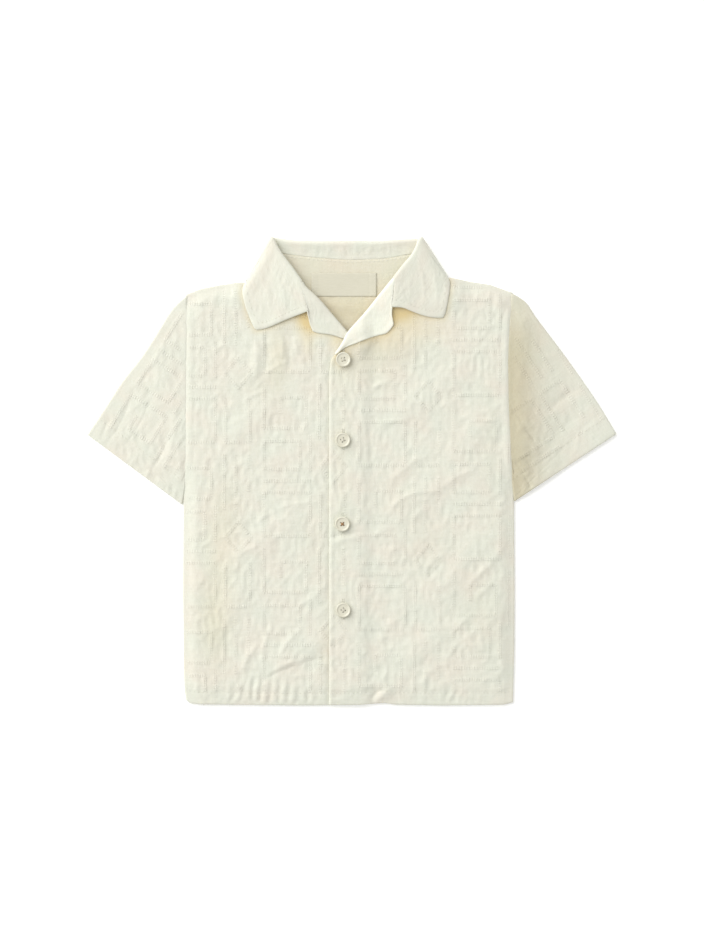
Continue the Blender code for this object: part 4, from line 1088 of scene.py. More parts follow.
sleeveCut = {
    "outerRight": [
        (-0.1301, 0.1366), (-0.1377, 0.1296), (-0.1427, 0.1234), (-0.1626, 0.0916),
        (-0.1797, 0.0693), (-0.1958, 0.0445), (-0.2066, 0.0283),
    ],
    "outerLeft": [
        (0.1252, 0.1382), (0.1311, 0.1349), (0.1367, 0.1305), (0.1408, 0.1241), (0.1450, 0.1175),
        (0.1652, 0.0905), (0.1806, 0.0688), (0.1938, 0.0490), (0.2060, 0.0287),
    ],
    "armpitRight": (-0.1317, -0.0120),
    "armpitLeft": (0.1266, -0.0080),
    "cuffRight": (-0.1326, -0.0264),
    "cuffLeft": (0.1265, -0.0237),
    "cuffTop": 0.0030, "edgeTop": 0.0027,
    "crown": 0.0006,
    "rows": 72, "topSteps": 104, "bottomSteps": 60,
    "endAngles": (30, 60, 90, 120, 150),
    "inset": 0.0006,
    "seam": -0.0011,                          # the sleeve starts this far under the body's edge
    "dipRight": -0.0001, "dipLeft": 0.0012,   # and sinks this far beside it
    "swellRight": 0.0, "swellLeft": 0.0011,
    "crumpleRight": 0.9, "crumpleLeft": 0.55,
    "shadeRight": 0.0, "shadeLeft": 1.0,      # the left sleeve lies in the shade of the body
    "shadeWide": 0.22, "shadeClose": 0.46,
    "hemGroove": (0.0002, 0.845, 0.011),      # placed by its share of the sleeve's length
    "flat": (0.300, 0.090), "area": 0.0130,
}


def makeSleeve(side):
    spec = sleeveCut
    sign = -1 if side == "Right" else 1
    rows, topSteps, bottomSteps = spec["rows"], spec["topSteps"], spec["bottomSteps"]
    outer = curveEvenly(spec["outer" + side], rows + 1)
    inner = evenly([spec["armpit" + side], spec["cuff" + side]], rows + 1)
    half = lie["solidHalf"]
    inset = half + spec["inset"]
    axis = unit(((outer[-1] + inner[-1]) - (outer[0] + inner[0])) / 2)
    crossAxis = np.array([-axis[1], axis[0]])
    startAcross = unit(inner[0] - outer[0])
    seamTop, seamFoot = outer[0] + startAcross * inset, inner[0] - startAcross * inset
    rings, places, paintedShadeRings = [], [], []
    for j in range(rows + 1):
        t = j / rows
        first, last = outer[j], inner[j]
        across = unit(last - first)
        layers = []
        for steps in (topSteps, bottomSteps):
            s = np.linspace(0, 1, steps + 1)
            plan = between(first + across * inset, last - across * inset, s[:, None])
            ends = np.minimum(s, 1 - s)
            clear = np.where(ends > 0.06, spec["seam"], spec["seam"] + half)
            seam = between(seamTop, seamFoot, s[:, None])
            plan[:, 0] += (1 - t) * (sideX(side, seam[:, 1]) + sign * clear - seam[:, 0])
            plan[:, 0] = sign * np.maximum(sign * plan[:, 0], sign * (sideX(side, plan[:, 1]) + sign * clear))
            layers.append((plan, ends))
        (plan, ends), (planBottom, endsBottom) = layers
        body = rightMid(sideX(side, plan[:, 1]), plan[:, 1], folded=False)
        away = np.abs(plan[:, 0] - sideX(side, plan[:, 1]))
        crown = spec["crown"] * smooth(ends / 0.2) * math.sin(math.pi * min(1, 1.4 * t))
        cuff = spec["edgeTop"] + (spec["cuffTop"] - spec["edgeTop"]) * smooth(ends / 0.1)
        z = np.maximum(body * (1 - smooth(t)) + cuff * smooth(t), spec["edgeTop"]) + crown
        dip = spec["dip" + side] * ramp(away, 0.010, 0.0) * smooth(ends / 0.12)
        swell = spec["swell" + side] * ramp(away, 0.045, 0.008) * smooth(ends / 0.15)
        relief = crumpleHeight(plan[:, 0], plan[:, 1]) * spec["crumple" + side]
        relief = relief + creaseHeight(creases["sleeve" + side], plan[:, 0], plan[:, 1])
        local = np.stack([(plan - outer[0]) @ crossAxis, (plan - outer[0]) @ axis], axis=1)
        relief = relief + figureHeight(local)
        calm = smooth(ends / 0.1) * min(1, 0.25 + t / 0.1) * (1 - 0.5 * smooth((t - 0.93) / 0.07))
        z = z - dip + swell + relief * calm
        z = np.maximum(z - ridge(t, *spec["hemGroove"]) * smooth(ends / 0.05), half + 0.0010)
        under = np.clip(0.4 * crumpleHeight(planBottom[:, 0] + 0.9, planBottom[:, 1]), 0, 0.0003)
        zBottom = half + under * smooth(endsBottom / 0.1)
        top3 = np.column_stack([plan, z])
        bottom3 = np.column_stack([planBottom, zBottom])
        ring = [*top3]
        for startPoint, stopPoint, way in ((top3[-1], bottom3[-1], 1), (bottom3[0], top3[0], -1)):
            h, level = (startPoint[2] - stopPoint[2]) / 2, (startPoint[2] + stopPoint[2]) / 2
            for degrees in spec["endAngles"]:
                a = math.radians(degrees)
                spot = startPoint[:2] + across * way * abs(h) * 0.9 * math.sin(a)
                limit = float(sideX(side, spot[1])) + sign * (spec["seam"] + half)
                spot[0] = sign * max(sign * spot[0], sign * limit)
                ring.append(np.array([*spot, level + h * math.cos(a)]))
            if way == 1:
                ring += [*bottom3[::-1]]
        ring = np.array(ring)
        flat = ring[:, :2] - outer[0]
        u, v = flat @ crossAxis, flat @ axis
        foldU = (first - outer[0]) @ crossAxis
        onBottom = np.zeros(len(ring), bool)
        onBottom[topSteps + 1 + 3:len(ring) - 3] = True
        u = np.where(onBottom, 2 * foldU - u, u)
        rings.append(ring)
        places.append(np.stack([u, v], axis=1))
        offBody = np.abs(ring[:, 0] - sideX(side, ring[:, 1]))
        # painted shade: the cloth is tinted darker near the body's edge, as in the body's shade
        deep = spec["shadeWide"] * ramp(offBody, 0.066, 0.006)
        deep = deep + spec["shadeClose"] * ramp(offBody, 0.032, 0.0)
        deep = spec["shade" + side] * deep * (0.45 + 0.55 * ramp(ring[:, 1], 0.140, 0.090))
        paintedShadeRings.append(np.where(onBottom, 0.0, deep))
    ringSize = len(rings[0])
    verts = np.concatenate(rings)
    place = np.concatenate(places)
    i = np.arange(ringSize)
    after = (i + 1) % ringSize
    j = np.arange(rows)[:, None] * ringSize
    bands = np.stack([j + i, j + after, j + ringSize + after, j + ringSize + i], axis=-1)
    normal, _faces = vertexNormals(verts, bands.reshape(-1, 4))
    if normal[ringSize * (rows // 2) + topSteps // 2][2] < 0:
        bands = bands[..., ::-1]
    thick = np.full(len(verts), lie["clothHalf"])
    paintedShading = np.concatenate(paintedShadeRings)
    name = "sleeve" + side
    stitching = name + "Stitching"
    piece = addShell(name + "Cloth", verts, bands.reshape(-1, 4), place, thick, paintedShading, cottonMaterial)
    underStart = topSteps + 8
    underEnd = topSteps + 2 + bottomSteps
    topFind = clothFinder(verts, bands[:, :topSteps].reshape(-1, 4), place, thick)
    bottomFind = clothFinder(verts, bands[:, underStart:underEnd].reshape(-1, 4), place, thick)
    cuffLine = outer[-1] - inner[-1]
    inward = unit([cuffLine[1], -cuffLine[0]])
    inward = inward * (-1 if inward @ axis > 0 else 1)

    def clearOfHem(point):
        fromArmhole = abs(point[0] - float(sideX(side, point[1])))
        return fromArmhole > 0.003 and abs((point[:2] - inner[-1]) @ inward) > lockStitch["cuff"]

    tones = toneMap(verts, paintedShading)
    figurePiece = stitchFigure(stitching, topFind, place, tones, inside=clearOfHem)
    underPiece = stitchFigure(stitching + "Under", bottomFind, place, tones, pair=False, inside=clearOfHem)
    cuffLocal = []
    for s in np.linspace(0.02, 0.98, 60):
        spot = between(outer[-1], inner[-1], s) + inward * lockStitch["cuff"]
        cuffLocal.append([(spot - outer[0]) @ crossAxis, (spot - outer[0]) @ axis])
    spots = stitchRow(topFind, cuffLocal)
    rowPiece = addGrains(name + "Topstitch", spots, lockStitch["size"], tones, stitchMaterial)
    wear(piece, spec["flat"], spec["area"], ["sleeve_" + side.lower()], [figurePiece, underPiece, rowPiece])


for side in ("Right", "Left"):
    makeSleeve(side)
print("sleeves are laid")


# collar: stand, roll and fall in one strip, from notch to notch round the back of the neck

collarCut = {
    "rollRight": [(-0.0385, 0.1475), (-0.0402, 0.1502), (-0.0467, 0.1593), (-0.0557, 0.1712)],
    "rollLeft": [(0.0313, 0.1504), (0.0391, 0.1605), (0.0468, 0.1700)],
    "edgeRight": fallEdge["Right"],
    "edgeLeft": fallEdge["Left"],
    "topRight": (-0.0644, 0.1835), "topLeft": (0.0546, 0.1829),
    "overRight": (-0.0838, 0.1478), "overLeft": (0.0746, 0.1518),
    "backRoll": [(-0.0467, 0.1805), (-0.0300, 0.1798), (0.0020, 0.1796), (0.0182, 0.1794), (0.0361, 0.1808)],
    "backEdge": [(-0.0700, 0.1452), (-0.0400, 0.1428), (-0.0050, 0.1420), (0.0300, 0.1432), (0.0600, 0.1465)],
    "turnTop": 0.0017, "turnBack": 0.0026, "standOpen": 0.0010,
    "outFall": 0.65, "outStand": 1.0,
    "leafRows": 56, "leafCorner": 35, "fallSteps": 34, "standSteps": 14, "backStations": 96,
    "turnAngles": (20, 40, 60, 80, 100, 120, 140, 160, 180),
    "creaseAngles": (12, 25, 38, 50, 63, 76, 90, 104, 117, 130, 142, 155, 168),
    "bead": (0.00014, 0.0026, 0.0022), "groove": (0.00008, 0.0052, 0.0010),   # along its edge
    "stitchInset": 0.0052, "settle": 0.00050,
    "pleatHeight": 0.00028, "pleatPitch": 0.0105,                             # of the puckers in the stand
    "paintedLightStand": -0.41, "paintedLightRight": -0.17, "paintedLightLeft": -0.04,                # painted light: below 0 the cloth is drawn paler
    "flat": (0.300, 0.060), "area": 0.0125,
}


def collarRow(foot, footZ, base, standZ, normal, radius, fall, fallZ):
    row = []
    for t in np.linspace(0, 1, collarCut["standSteps"] + 1):
        x, y = between(foot, base, t)
        row.append((x, y, between(footZ, standZ, t ** 1.5)))
    for degrees in collarCut["turnAngles"]:
        a = math.radians(degrees)
        x, y = np.asarray(base) + np.asarray(normal) * abs(radius) * math.sin(a)
        row.append((x, y, standZ + radius * (1 - math.cos(a))))
    for (x, y), z in zip(fall[1:], fallZ[1:]):
        row.append((x, y, z))
    return np.array(row, float)


def leafFrame(side):
    top, over = np.array(collarCut["top" + side]), np.array(collarCut["over" + side])
    half = lie["solidHalf"]
    up = unit(top - over)
    out = np.array([-up[1], up[0]]) * (1 if side == "Right" else -1)
    frontFall = half + 2 * (collarCut["turnTop"] * 2 + collarCut["standOpen"])
    halfTop = (frontFall - half) / 2
    base = top - out * (halfTop * collarCut["outFall"] + half) - up * (collarCut["turnTop"] + half)
    foot = over - out * (1.5 * lie["step"] * collarCut["outFall"] + half)
    return base, foot, out, up, frontFall


def leafRows(side):
    spec = collarCut
    mid = frontMid[side]
    half = lie["solidHalf"]
    rollBase, rollNormal, rollRadius = lapelRoll(side)
    baseTop, baseOver, _out, up, frontFall = leafFrame(side)
    start, neck = standFoot(side)
    rollEnd = tuple(baseTop + up * (spec["turnTop"] + half))
    outline = curveEvenly(spec["roll" + side] + [rollEnd], spec["leafRows"] + 1)
    normal = sideNormals(outline, bodyCut["neckMiddle"])
    normal[0] = rollNormal[-1]
    edge = joinedCurves(
        [spec["edge" + side][0], spec["edge" + side][1] + [tuple(baseOver)]],
        (spec["leafCorner"], spec["leafRows"] - spec["leafCorner"]),
    )
    steps = np.linspace(0, 1, spec["fallSteps"] + 1)
    rows = []
    for k in range(spec["leafRows"] + 1):
        t = k / spec["leafRows"]
        radius = between(rollRadius[-1], spec["turnTop"], t)
        turn = unit(between(normal[k], up, t ** 2))
        base = outline[k] - turn * (radius + half)
        if k == spec["leafRows"]:
            base = baseTop
        if k == 0:
            base = rollBase[-1] - unit(rollBase[-2] - rollBase[-1]) * lapelCut["gorgeGap" + side]
        foot = between(start, neck, t)
        footZ = between(mid(*start, folded=False), half + 2 * lie["step"], smooth(t))
        standZ = between(mid(*rollBase[-1], folded=False), frontFall - 2 * spec["turnTop"], smooth(t))
        if k == 0:
            fall = gorgeLine(side, rollBase[-1], 1, spec["fallSteps"])
            fallZ = gorgeHeights(side, rollBase[-1], radius, spec["fallSteps"])
        else:
            fall = between(base, edge[k], steps[:, None])
            contact = mid(fall[:, 0], fall[:, 1]) + lie["step"]
            lift = lapelCut["notchLift"] * max(0.0, 1 - k / spec["leafCorner"]) ** 1.3
            edgeZ = contact[-1] + lift
            if k == spec["leafRows"]:
                edgeZ = half + 3 * lie["step"]
            power = between(lapelCut["flatten"], 1.0, t)
            fallZ = edgeZ + (standZ + 2 * radius - edgeZ) * (1 - steps) ** power
            if k < spec["leafRows"]:
                fallZ = np.maximum(fallZ, contact)
        calm = np.sin(np.pi * steps) ** 0.5 * min(1, k / 6) * min(1, (spec["leafRows"] - k) / 6)
        crinkle = np.abs(crumpleHeight(fall[:, 0] * 1.6 + 0.3, fall[:, 1] * 0.8)) * 1.1
        crinkle = crinkle + creaseHeight(creases["collar" + side], fall[:, 0], fall[:, 1])
        toEdge = np.linalg.norm(fall - fall[-1], axis=1)
        if k > 0:
            toEdge = np.minimum(toEdge, np.linalg.norm(fall[:, None] - edge[None], axis=2).min(axis=1))
        bead = ridge(toEdge, *spec["bead"]) - ridge(toEdge, *spec["groove"])
        settle = spec["settle"] * smooth(steps / 0.9) * smooth((spec["leafRows"] - k) / 8)
        fallZ = fallZ + crinkle * calm + bead * min(1, k / 4) * smooth(steps / 0.3) - settle
        rows.append(collarRow(foot, footZ, base, standZ, turn, radius, fall, fallZ))
    return rows


def backCollarRows():
    spec = collarCut
    half = lie["solidHalf"]
    baseR, overR, _o, upR, _f = leafFrame("Right")
    baseL, overL, _o, upL, _f = leafFrame("Left")
    count = spec["backStations"]
    foot = curveEvenly(bodyCut["backNeck"], count + 1)
    rollPoints = [(x, y - spec["turnBack"] - half) for x, y in spec["backRoll"]]
    roll = curveEvenly([tuple(baseR)] + rollPoints + [tuple(baseL)], count + 1)
    edge = curveEvenly([tuple(overR)] + spec["backEdge"] + [tuple(overL)], count + 1)
    steps = np.linspace(0, 1, spec["fallSteps"] + 1)
    rows = []
    for k in range(count + 1):
        t = k / count
        radius = between(spec["turnTop"], spec["turnBack"], math.sin(math.pi * t) ** 0.7)
        lean = unit(between(between(upR, (0, 1), smooth(3 * t)), upL, smooth(3 * t - 2)))
        fall = between(roll[k], edge[k], steps[:, None])
        fallZ = np.full(spec["fallSteps"] + 1, half)
        row = collarRow(foot[k], half + lie["step"], roll[k], half + 2 * radius, lean, -radius, fall, fallZ)
        stand = spec["standSteps"] + 1
        crinkle = np.abs(crumpleHeight(row[:stand, 0] * 1.8, row[:stand, 1] * 0.7 + 0.2)) * 1.2
        pleats = np.maximum(0, np.sin(row[:stand, 0] * 2 * math.pi / spec["pleatPitch"]))
        crinkle += spec["pleatHeight"] * pleats * math.sin(math.pi * t) ** 0.5
        ends = np.sin(np.pi * np.linspace(0, 1, stand)) ** 0.6 * math.sin(math.pi * t) ** 0.3
        row[:stand, 2] += crinkle * ends
        rows.append(row)
    return rows


def shoulderTurn(topRow, bottomRow, out):
    turnEnd = collarCut["standSteps"] + len(collarCut["turnAngles"])
    i = np.arange(len(topRow))
    share = np.clip((i - collarCut["standSteps"]) / (turnEnd - collarCut["standSteps"]), 0, 1)
    half = (topRow[:, 2] - bottomRow[:, 2]) / 2
    reach = half * (collarCut["outStand"] * (1 - share) + collarCut["outFall"] * share)
    rows = []
    for degrees in collarCut["creaseAngles"]:
        a = math.radians(degrees)
        s = float(smooth(degrees / 180))
        plan = topRow[:, :2] * (1 - s) + bottomRow[:, :2] * s + out[None] * (reach * math.sin(a))[:, None]
        rows.append(np.column_stack([plan, (topRow[:, 2] + bottomRow[:, 2]) / 2 + half * math.cos(a)]))
    return rows


def makeCollar():
    right, left, behind = leafRows("Right"), leafRows("Left"), backCollarRows()
    rows = right + shoulderTurn(right[-1], behind[0], leafFrame("Right")[2]) + behind
    rows += shoulderTurn(left[-1], behind[-1], leafFrame("Left")[2])[::-1] + left[::-1]
    grid = np.array(rows)
    count, columns = grid.shape[0], grid.shape[1]
    verts = grid.reshape(-1, 3)
    quads = gridQuads(count - 1, columns - 1)
    steps = np.linalg.norm(np.diff(grid, axis=1), axis=2)
    across = np.cumsum(np.concatenate([np.zeros((count, 1)), steps], axis=1), axis=1)
    rollColumn = collarCut["standSteps"] + 5
    along = np.concatenate([[0], np.cumsum(np.linalg.norm(np.diff(grid[:, rollColumn], axis=0), axis=1))])
    place = np.dstack([np.broadcast_to(along[:, None], across.shape), across]).reshape(-1, 2) + 0.5
    normal, _faces = vertexNormals(verts, quads)
    if normal[(len(right) // 2) * columns + columns - 10][2] > 0:
        quads = quads[:, ::-1]
    half = np.full(len(verts), lie["clothHalf"] + 0.0001)
    stand = np.broadcast_to(np.arange(columns)[None] < collarCut["standSteps"], (count, columns))
    # painted light: the stand and the falls are drawn paler
    wearersRight = np.arange(count)[:, None] < count // 2
    fallPaintedLight = np.where(wearersRight, collarCut["paintedLightRight"], collarCut["paintedLightLeft"])
    paintedShading = np.where(stand, collarCut["paintedLightStand"], fallPaintedLight).ravel()
    piece = addShell("collarCloth", verts, quads, place, half, paintedShading, cottonMaterial)
    find = clothFinder(verts, quads, place, half)
    spots = []
    for k0, k1 in ((1, len(right) - 2), (count - len(left) + 1, count - 2)):
        path = [(along[k] + 0.5, across[k, -1] - collarCut["stitchInset"] + 0.5) for k in range(k0, k1)]
        spots += stitchRow(find, path, side=-1)
    rowPiece = addGrains("collarTopstitch", spots, lockStitch["size"], None, stitchMaterial)
    wear(piece, collarCut["flat"], collarCut["area"], ["collar"], [rowPiece])


makeCollar()
print("collar is laid")


# the neck label: a plain woven tape, sewn down along its ends

neckLabel = {
    "thread": "#d1cdba", "threadDeep": "#ccc8b4",
    "flat": (0.0506, 0.0179),
    "thickness": 0.0005,
    "lift": 0.00042, "wave": 0.00010,
    "fold": (0.00012, 0.0055, 0.0006),       # the mark of each folded end: depth, place and half width
    "stitch": (0.0016, 0.0005, 0.0002), "stitchPitch": 0.0022, "stitchInset": 0.0012,
    "sateenMm": 0.9,                         # 0.25 mm weft floats in the real tape, drawn coarser to show
    "finish": {"Roughness": 0.55, "Specular IOR Level": 0.35, "IOR": 1.5, "Sheen Weight": 0.2,
               "Sheen Roughness": 0.35},
}


def makeLabelMaterial():
    # polyester sateen tape, woven: smoother than the cotton, with a faint sheen
    material, tree, surface = newMaterial("wovenSateenTape", neckLabel["finish"])
    place = addNode(tree, "ShaderNodeAttribute", {"attribute_name": "clothPlace"})
    stretched = addNode(tree, "ShaderNodeMapping",
                        values={"Scale": (1000 / 6.0, 1000 / neckLabel["sateenMm"], 1.0)},
                        links={"Vector": place.outputs["Vector"]})
    floats = addNode(tree, "ShaderNodeTexNoise", values={"Scale": 1.0, "Detail": 2.0},
                     links={"Vector": stretched.outputs["Vector"]})
    tone = addNode(tree, "ShaderNodeValToRGB", links={"Fac": floats.outputs["Fac"]},
                   stops=[(0.3, linear(neckLabel["threadDeep"])), (0.7, linear(neckLabel["thread"]))])
    tree.links.new(tone.outputs["Color"], surface.inputs["Base Color"])
    bump = addNode(tree, "ShaderNodeBump", values={"Strength": 1.0, "Distance": 0.00005},
                   links={"Height": floats.outputs["Fac"]})
    tree.links.new(bump.outputs["Normal"], surface.inputs["Normal"])
    return material


def makeLabel():
    low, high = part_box("neck_label")
    width, depth = high[0] - low[0], high[1] - low[1]
    columns, rows = 64, 24
    u, v = np.meshgrid(np.linspace(0, 1, columns + 1), np.linspace(0, 1, rows + 1))
    x, y = low[0] + u * width, low[1] + v * depth
    fromEnd = np.minimum(x - low[0], high[0] - x)
    z = backMid(x, y) + lie["clothHalf"] + neckLabel["lift"] - ridge(fromEnd, *neckLabel["fold"])
    z = z + neckLabel["wave"] * np.sin(u * 7) * np.sin(v * 3)
    verts = np.stack([x, y, z], axis=-1).reshape(-1, 3)
    quads = gridQuads(rows, columns)
    half = np.full(len(verts), neckLabel["thickness"] / 2)
    place = verts[:, :2].copy()
    piece = addShell("labelTape", verts, quads, place, half, np.zeros(len(verts)), makeLabelMaterial())
    find = clothFinder(verts, quads, place, half)
    spots = []
    for x in (low[0] + neckLabel["stitchInset"], high[0] - neckLabel["stitchInset"]):
        spots += stitchRow(find, [(x, low[1] + 0.001), (x, high[1] - 0.001)], neckLabel["stitchPitch"])
    rowPiece = addGrains("labelStitches", spots, neckLabel["stitch"], None, stitchMaterial)
    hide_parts("neck_label")
    lay("label", piece, rowPiece)


makeLabel()
print("label is sewn in")


# buttons, with their buttonholes and thread

buttonSpec = {
    "radius": 0.0057, "thick": 0.0024, "dish": 0.0006, "rim": 0.00075, "sides": 64,
    "holeRadius": 0.00052, "holeOffset": 0.0016, "holeSides": 16,
    "resin": "#d9d6c4", "resinDeep": "#d3cfbb",
    "finish": {"Roughness": 0.34, "IOR": 1.54, "Specular IOR Level": 0.5, "Coat Weight": 0.15,
               "Coat Roughness": 0.2},
}
sewingThread = {
    "ivory": "#e6e2d2", "ivoryRadius": 0.00015,
    "brown": "#9c7348", "brownRadius": 0.00030, "brownOn": 3,   # the third button has the brown thread
    "apart": 0.00024, "arch": 0.00040, "crossing": 0.00012, "sink": 0.0012,
}
buttonTurns = (12.0, 31.0, 4.0, 40.0)  # how each one happens to be turned, in degrees
buttonHole = {"apart": 0.00046, "offset": 0.00062, "stitch": (0.0011, 0.00052, 0.00032)}


def makeResin():
    # ivory polyester resin, cast and tumbled: satin gloss with a faint pearly cloud
    material, tree, surface = newMaterial("castIvoryResin", buttonSpec["finish"])
    place = addNode(tree, "ShaderNodeTexCoord")
    cloud = addNode(tree, "ShaderNodeTexNoise", values={"Scale": 260.0, "Detail": 3.0, "Distortion": 1.2},
                    links={"Vector": place.outputs["Object"]})
    tone = addNode(tree, "ShaderNodeValToRGB", links={"Fac": cloud.outputs["Fac"]},
                   stops=[(0.35, linear(buttonSpec["resinDeep"])), (0.65, linear(buttonSpec["resin"]))])
    tree.links.new(tone.outputs["Color"], surface.inputs["Base Color"])
    return material


def makeThread(name, colour):
    # twisted polyester sewing thread: soft sheen, the twist shows as fine slanted bands
    material, tree, surface = newMaterial(name, {"Roughness": 0.6, "Sheen Weight": 0.2, "IOR": 1.5})
    place = addNode(tree, "ShaderNodeTexCoord")
    twist = addNode(tree, "ShaderNodeTexWave", {"bands_direction": "DIAGONAL"}, {"Scale": 320.0},
                    {"Vector": place.outputs["Object"]})
    deep = [c * 0.8 for c in linear(colour)[:3]] + [1.0]
    tone = addNode(tree, "ShaderNodeValToRGB", links={"Fac": twist.outputs["Fac"]},
                   stops=[(0.0, deep), (1.0, linear(colour))])
    tree.links.new(tone.outputs["Color"], surface.inputs["Base Color"])
    return material


def lathe(profile, sides):
    angles = np.arange(sides) * 2 * math.pi / sides
    verts, faces = [], []
    for r, z in profile[1:-1]:
        verts += [(r * math.cos(a), r * math.sin(a), z) for a in angles]
    top, bottom = len(verts), len(verts) + 1
    verts += [(0, 0, profile[0][1]), (0, 0, profile[-1][1])]
    ringCount = len(profile) - 2
    for j in range(ringCount - 1):
        for i in range(sides):
            k = (i + 1) % sides
            faces.append((j * sides + i, (j + 1) * sides + i, (j + 1) * sides + k, j * sides + k))
    for i in range(sides):
        k = (i + 1) % sides
        faces.append((top, i, k))
        faces.append((bottom, (ringCount - 1) * sides + k, (ringCount - 1) * sides + i))
    return np.array(verts, float), faces


def tube(path, radius, sides=8):
    path = np.asarray(path, float)
    tangent = np.gradient(path, axis=0)
    tangent /= np.linalg.norm(tangent, axis=1)[:, None]
    verts, faces = [], []
    for p, t in zip(path, tangent):
        a = unit(np.cross(t, (0.13, 0.07, 1.0)))
        b = np.cross(t, a)
        for k in range(sides):
            w = 2 * math.pi * k / sides
            verts.append(p + radius * (math.cos(w) * a + math.sin(w) * b))
    for j in range(len(path) - 1):
        for k in range(sides):
            n = (k + 1) % sides
            faces.append((j * sides + k, j * sides + n, (j + 1) * sides + n, (j + 1) * sides + k))
    faces.append(tuple(range(sides - 1, -1, -1)))
    faces.append(tuple((len(path) - 1) * sides + k for k in range(sides)))
    return verts, faces


def joinTubes(name, tubes, material):
    verts, faces = [], []
    for tubeVerts, tubeFaces in tubes:
        start = len(verts)
        verts += list(tubeVerts)
        faces += [tuple(start + i for i in f) for f in tubeFaces]
    return addMesh(name, np.array(verts), faces, material)


def makeButtonMesh(material):
    s = buttonSpec
    r, t, d, m = s["radius"], s["thick"], s["dish"], s["rim"]
    profile = [
        (0.0, t - d), (r - 2.5 * m, t - d), (r - 2.1 * m, t - d * 0.92), (r - 1.7 * m, t - d * 0.55),
        (r - 1.3 * m, t - d * 0.14), (r - 0.95 * m, t), (r - 0.55 * m, t - 0.01 * m),
        (r - 0.25 * m, t - 0.12 * m), (r - 0.07 * m, t - 0.32 * m), (r, t - 0.6 * m),
        (r - 0.02 * m, 0.45 * t), (r - 0.25 * m, 0.2 * t), (r - 0.9 * m, 0.0), (0.0, 0.0),
    ]
    verts, faces = lathe(profile, s["sides"])
    piece = addMesh("buttonBlank", verts, faces, material)
    drills = []
    for k in range(4):
        a = math.pi / 4 + k * math.pi / 2
        x, y = s["holeOffset"] * math.cos(a), s["holeOffset"] * math.sin(a)
        drills.append(tube([(x, y, -0.002), (x, y, 0.001), (x, y, 0.005)], s["holeRadius"], s["holeSides"]))
    cutter = joinTubes("buttonDrill", drills, material)
    cut = piece.modifiers.new("Holes", "BOOLEAN")
    cut.operation = "DIFFERENCE"
    cut.solver = "EXACT"
    cut.object = cutter
    graph = bpy.context.evaluated_depsgraph_get()
    mesh = bpy.data.meshes.new_from_object(piece.evaluated_get(graph))
    bpy.data.objects.remove(piece, do_unlink=True)
    bpy.data.objects.remove(cutter, do_unlink=True)
    mesh.shade_smooth()
    return mesh


def makeButtons():
    resin = makeResin()
    spec = sewingThread
    threads = {colour: makeThread(colour + "SewingThread", spec[colour]) for colour in ("ivory", "brown")}
    mesh = makeButtonMesh(resin)
    mesh.set_sharp_from_angle(angle=math.radians(50))
    for number, turn in enumerate(buttonTurns, 1):
        low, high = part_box(f"button_{number}")
        x, y, z = (low[0] + high[0]) / 2, (low[1] + high[1]) / 2, low[2]
        piece = bpy.data.objects.new(f"button{number}", mesh.copy())
        bpy.context.scene.collection.objects.link(piece)
        piece.location = (x, y, z)
        piece.rotation_euler = (0, 0, math.radians(turn))
        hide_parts(f"button_{number}")
        colour = "brown" if number == spec["brownOn"] else "ivory"
        strands = []
        top = buttonSpec["thick"] - buttonSpec["dish"]
        for k in (0, 1):
            a = math.pi / 4 + k * math.pi / 2 + math.radians(turn)
            way, cross = np.array([math.cos(a), math.sin(a)]), np.array([-math.sin(a), math.cos(a)])
            for shift in (-spec["apart"], spec["apart"]):
                path = []
                for s in np.linspace(-1, 1, 11):
                    reach = buttonSpec["holeOffset"] * s
                    rise = top + spec["arch"] * (1 - s ** 4) - spec["sink"] * abs(s) ** 10
                    rise += spec["crossing"] * k * (1 - s ** 2)
                    spot = way * reach + cross * shift * (1 - 0.4 * abs(s))
                    path.append((x + spot[0], y + spot[1], z + rise))
                strands.append(tube(path, spec[colour + "Radius"]))
        thread = joinTubes(f"buttonThread{number}", strands, threads[colour])
        lay("button", piece, thread)
        # the worked buttonhole under it, a close row of satin stitches on each side of an upright slit
        spots = []
        for way in (-1, 1):
            for py in np.arange(low[1] - 0.0016, high[1] + 0.0034, buttonHole["apart"]):
                found = findFront["Left"](x + way * buttonHole["offset"], py)
                if found is not None:
                    spots.append((found[0], found[1], unit(np.cross((0, 1, 0), found[1])), (x, py, 0.0)))
        hole = addGrains(f"buttonhole{number}", spots, buttonHole["stitch"], None, stitchMaterial)
        lay("cloth", hole)


makeButtons()
print("buttons are sewn on")


# floor, light and camera

studio = {
    "floor": "#f6f6f4", "floorDeep": "#f4f4f2", "floorSize": 8.0, "floorGlow": 0.25,
    "sky": 0.665,
    "keyWatts": 206.0, "keyFrom": (-2.70, 2.00, 2.80), "keySize": 5.2,
    "scale": 0.00078,           # metres of the shirt for each pixel of the picture
    "middle": (-0.0002, 0.0008),
    "cameraHeight": 4.0, "cameraPlane": 0.004,
    "picture": (704, 939),
}


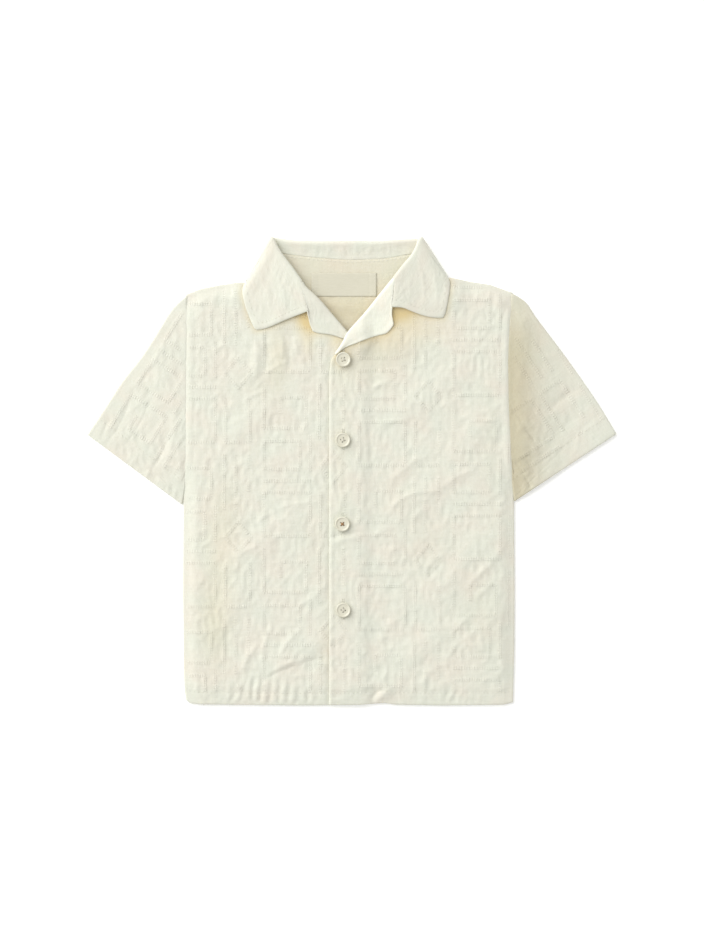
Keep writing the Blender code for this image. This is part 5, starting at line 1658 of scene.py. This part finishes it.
def makeStudio():
    half = studio["floorSize"] / 2
    verts = np.array([(-half, -half, 0), (half, -half, 0), (half, half, 0), (-half, half, 0)], float)
    material, tree, surface = newMaterial("paleLightTable", {
        "Roughness": 0.9, "Specular IOR Level": 0.1, "Emission Color": (1.0, 1.0, 1.0, 1.0),
        "Emission Strength": studio["floorGlow"]})
    place = addNode(tree, "ShaderNodeTexCoord")
    fibre = addNode(tree, "ShaderNodeTexNoise", values={"Scale": 40.0, "Detail": 2.0},
                    links={"Vector": place.outputs["Object"]})
    tone = addNode(tree, "ShaderNodeValToRGB", links={"Fac": fibre.outputs["Fac"]},
                   stops=[(0.0, linear(studio["floorDeep"])), (1.0, linear(studio["floor"]))])
    tree.links.new(tone.outputs["Color"], surface.inputs["Base Color"])
    floor = addMesh("studioFloor", verts, [(0, 1, 2, 3)], material)
    floor.location.z = -0.0003
    world = bpy.data.worlds.new("paleStudio")
    world.use_nodes = True
    world.node_tree.nodes["Background"].inputs["Color"].default_value = (1.0, 1.0, 1.0, 1.0)
    world.node_tree.nodes["Background"].inputs["Strength"].default_value = studio["sky"]
    bpy.context.scene.world = world
    light = bpy.data.lights.new("softKey", "AREA")
    light.shape = "DISK"
    light.size = studio["keySize"]
    light.energy = studio["keyWatts"]
    key = bpy.data.objects.new("softKey", light)
    key.location = studio["keyFrom"]
    key.rotation_euler = (-Vector(studio["keyFrom"])).to_track_quat("-Z", "Y").to_euler()
    bpy.context.scene.collection.objects.link(key)
    camera = bpy.data.cameras.new("overhead")
    camera.sensor_width = 36.0
    tall = studio["picture"][1] * studio["scale"]
    camera.lens = camera.sensor_width * (studio["cameraHeight"] - studio["cameraPlane"]) / tall
    camera.clip_end = 50
    eye = bpy.data.objects.new("overhead", camera)
    eye.location = (*studio["middle"], studio["cameraHeight"])
    bpy.context.scene.collection.objects.link(eye)
    bpy.context.scene.camera = eye
    bpy.context.scene.view_settings.view_transform = "Standard"
    bpy.context.scene.view_settings.look = "None"


makeStudio()
print("studio is ready")
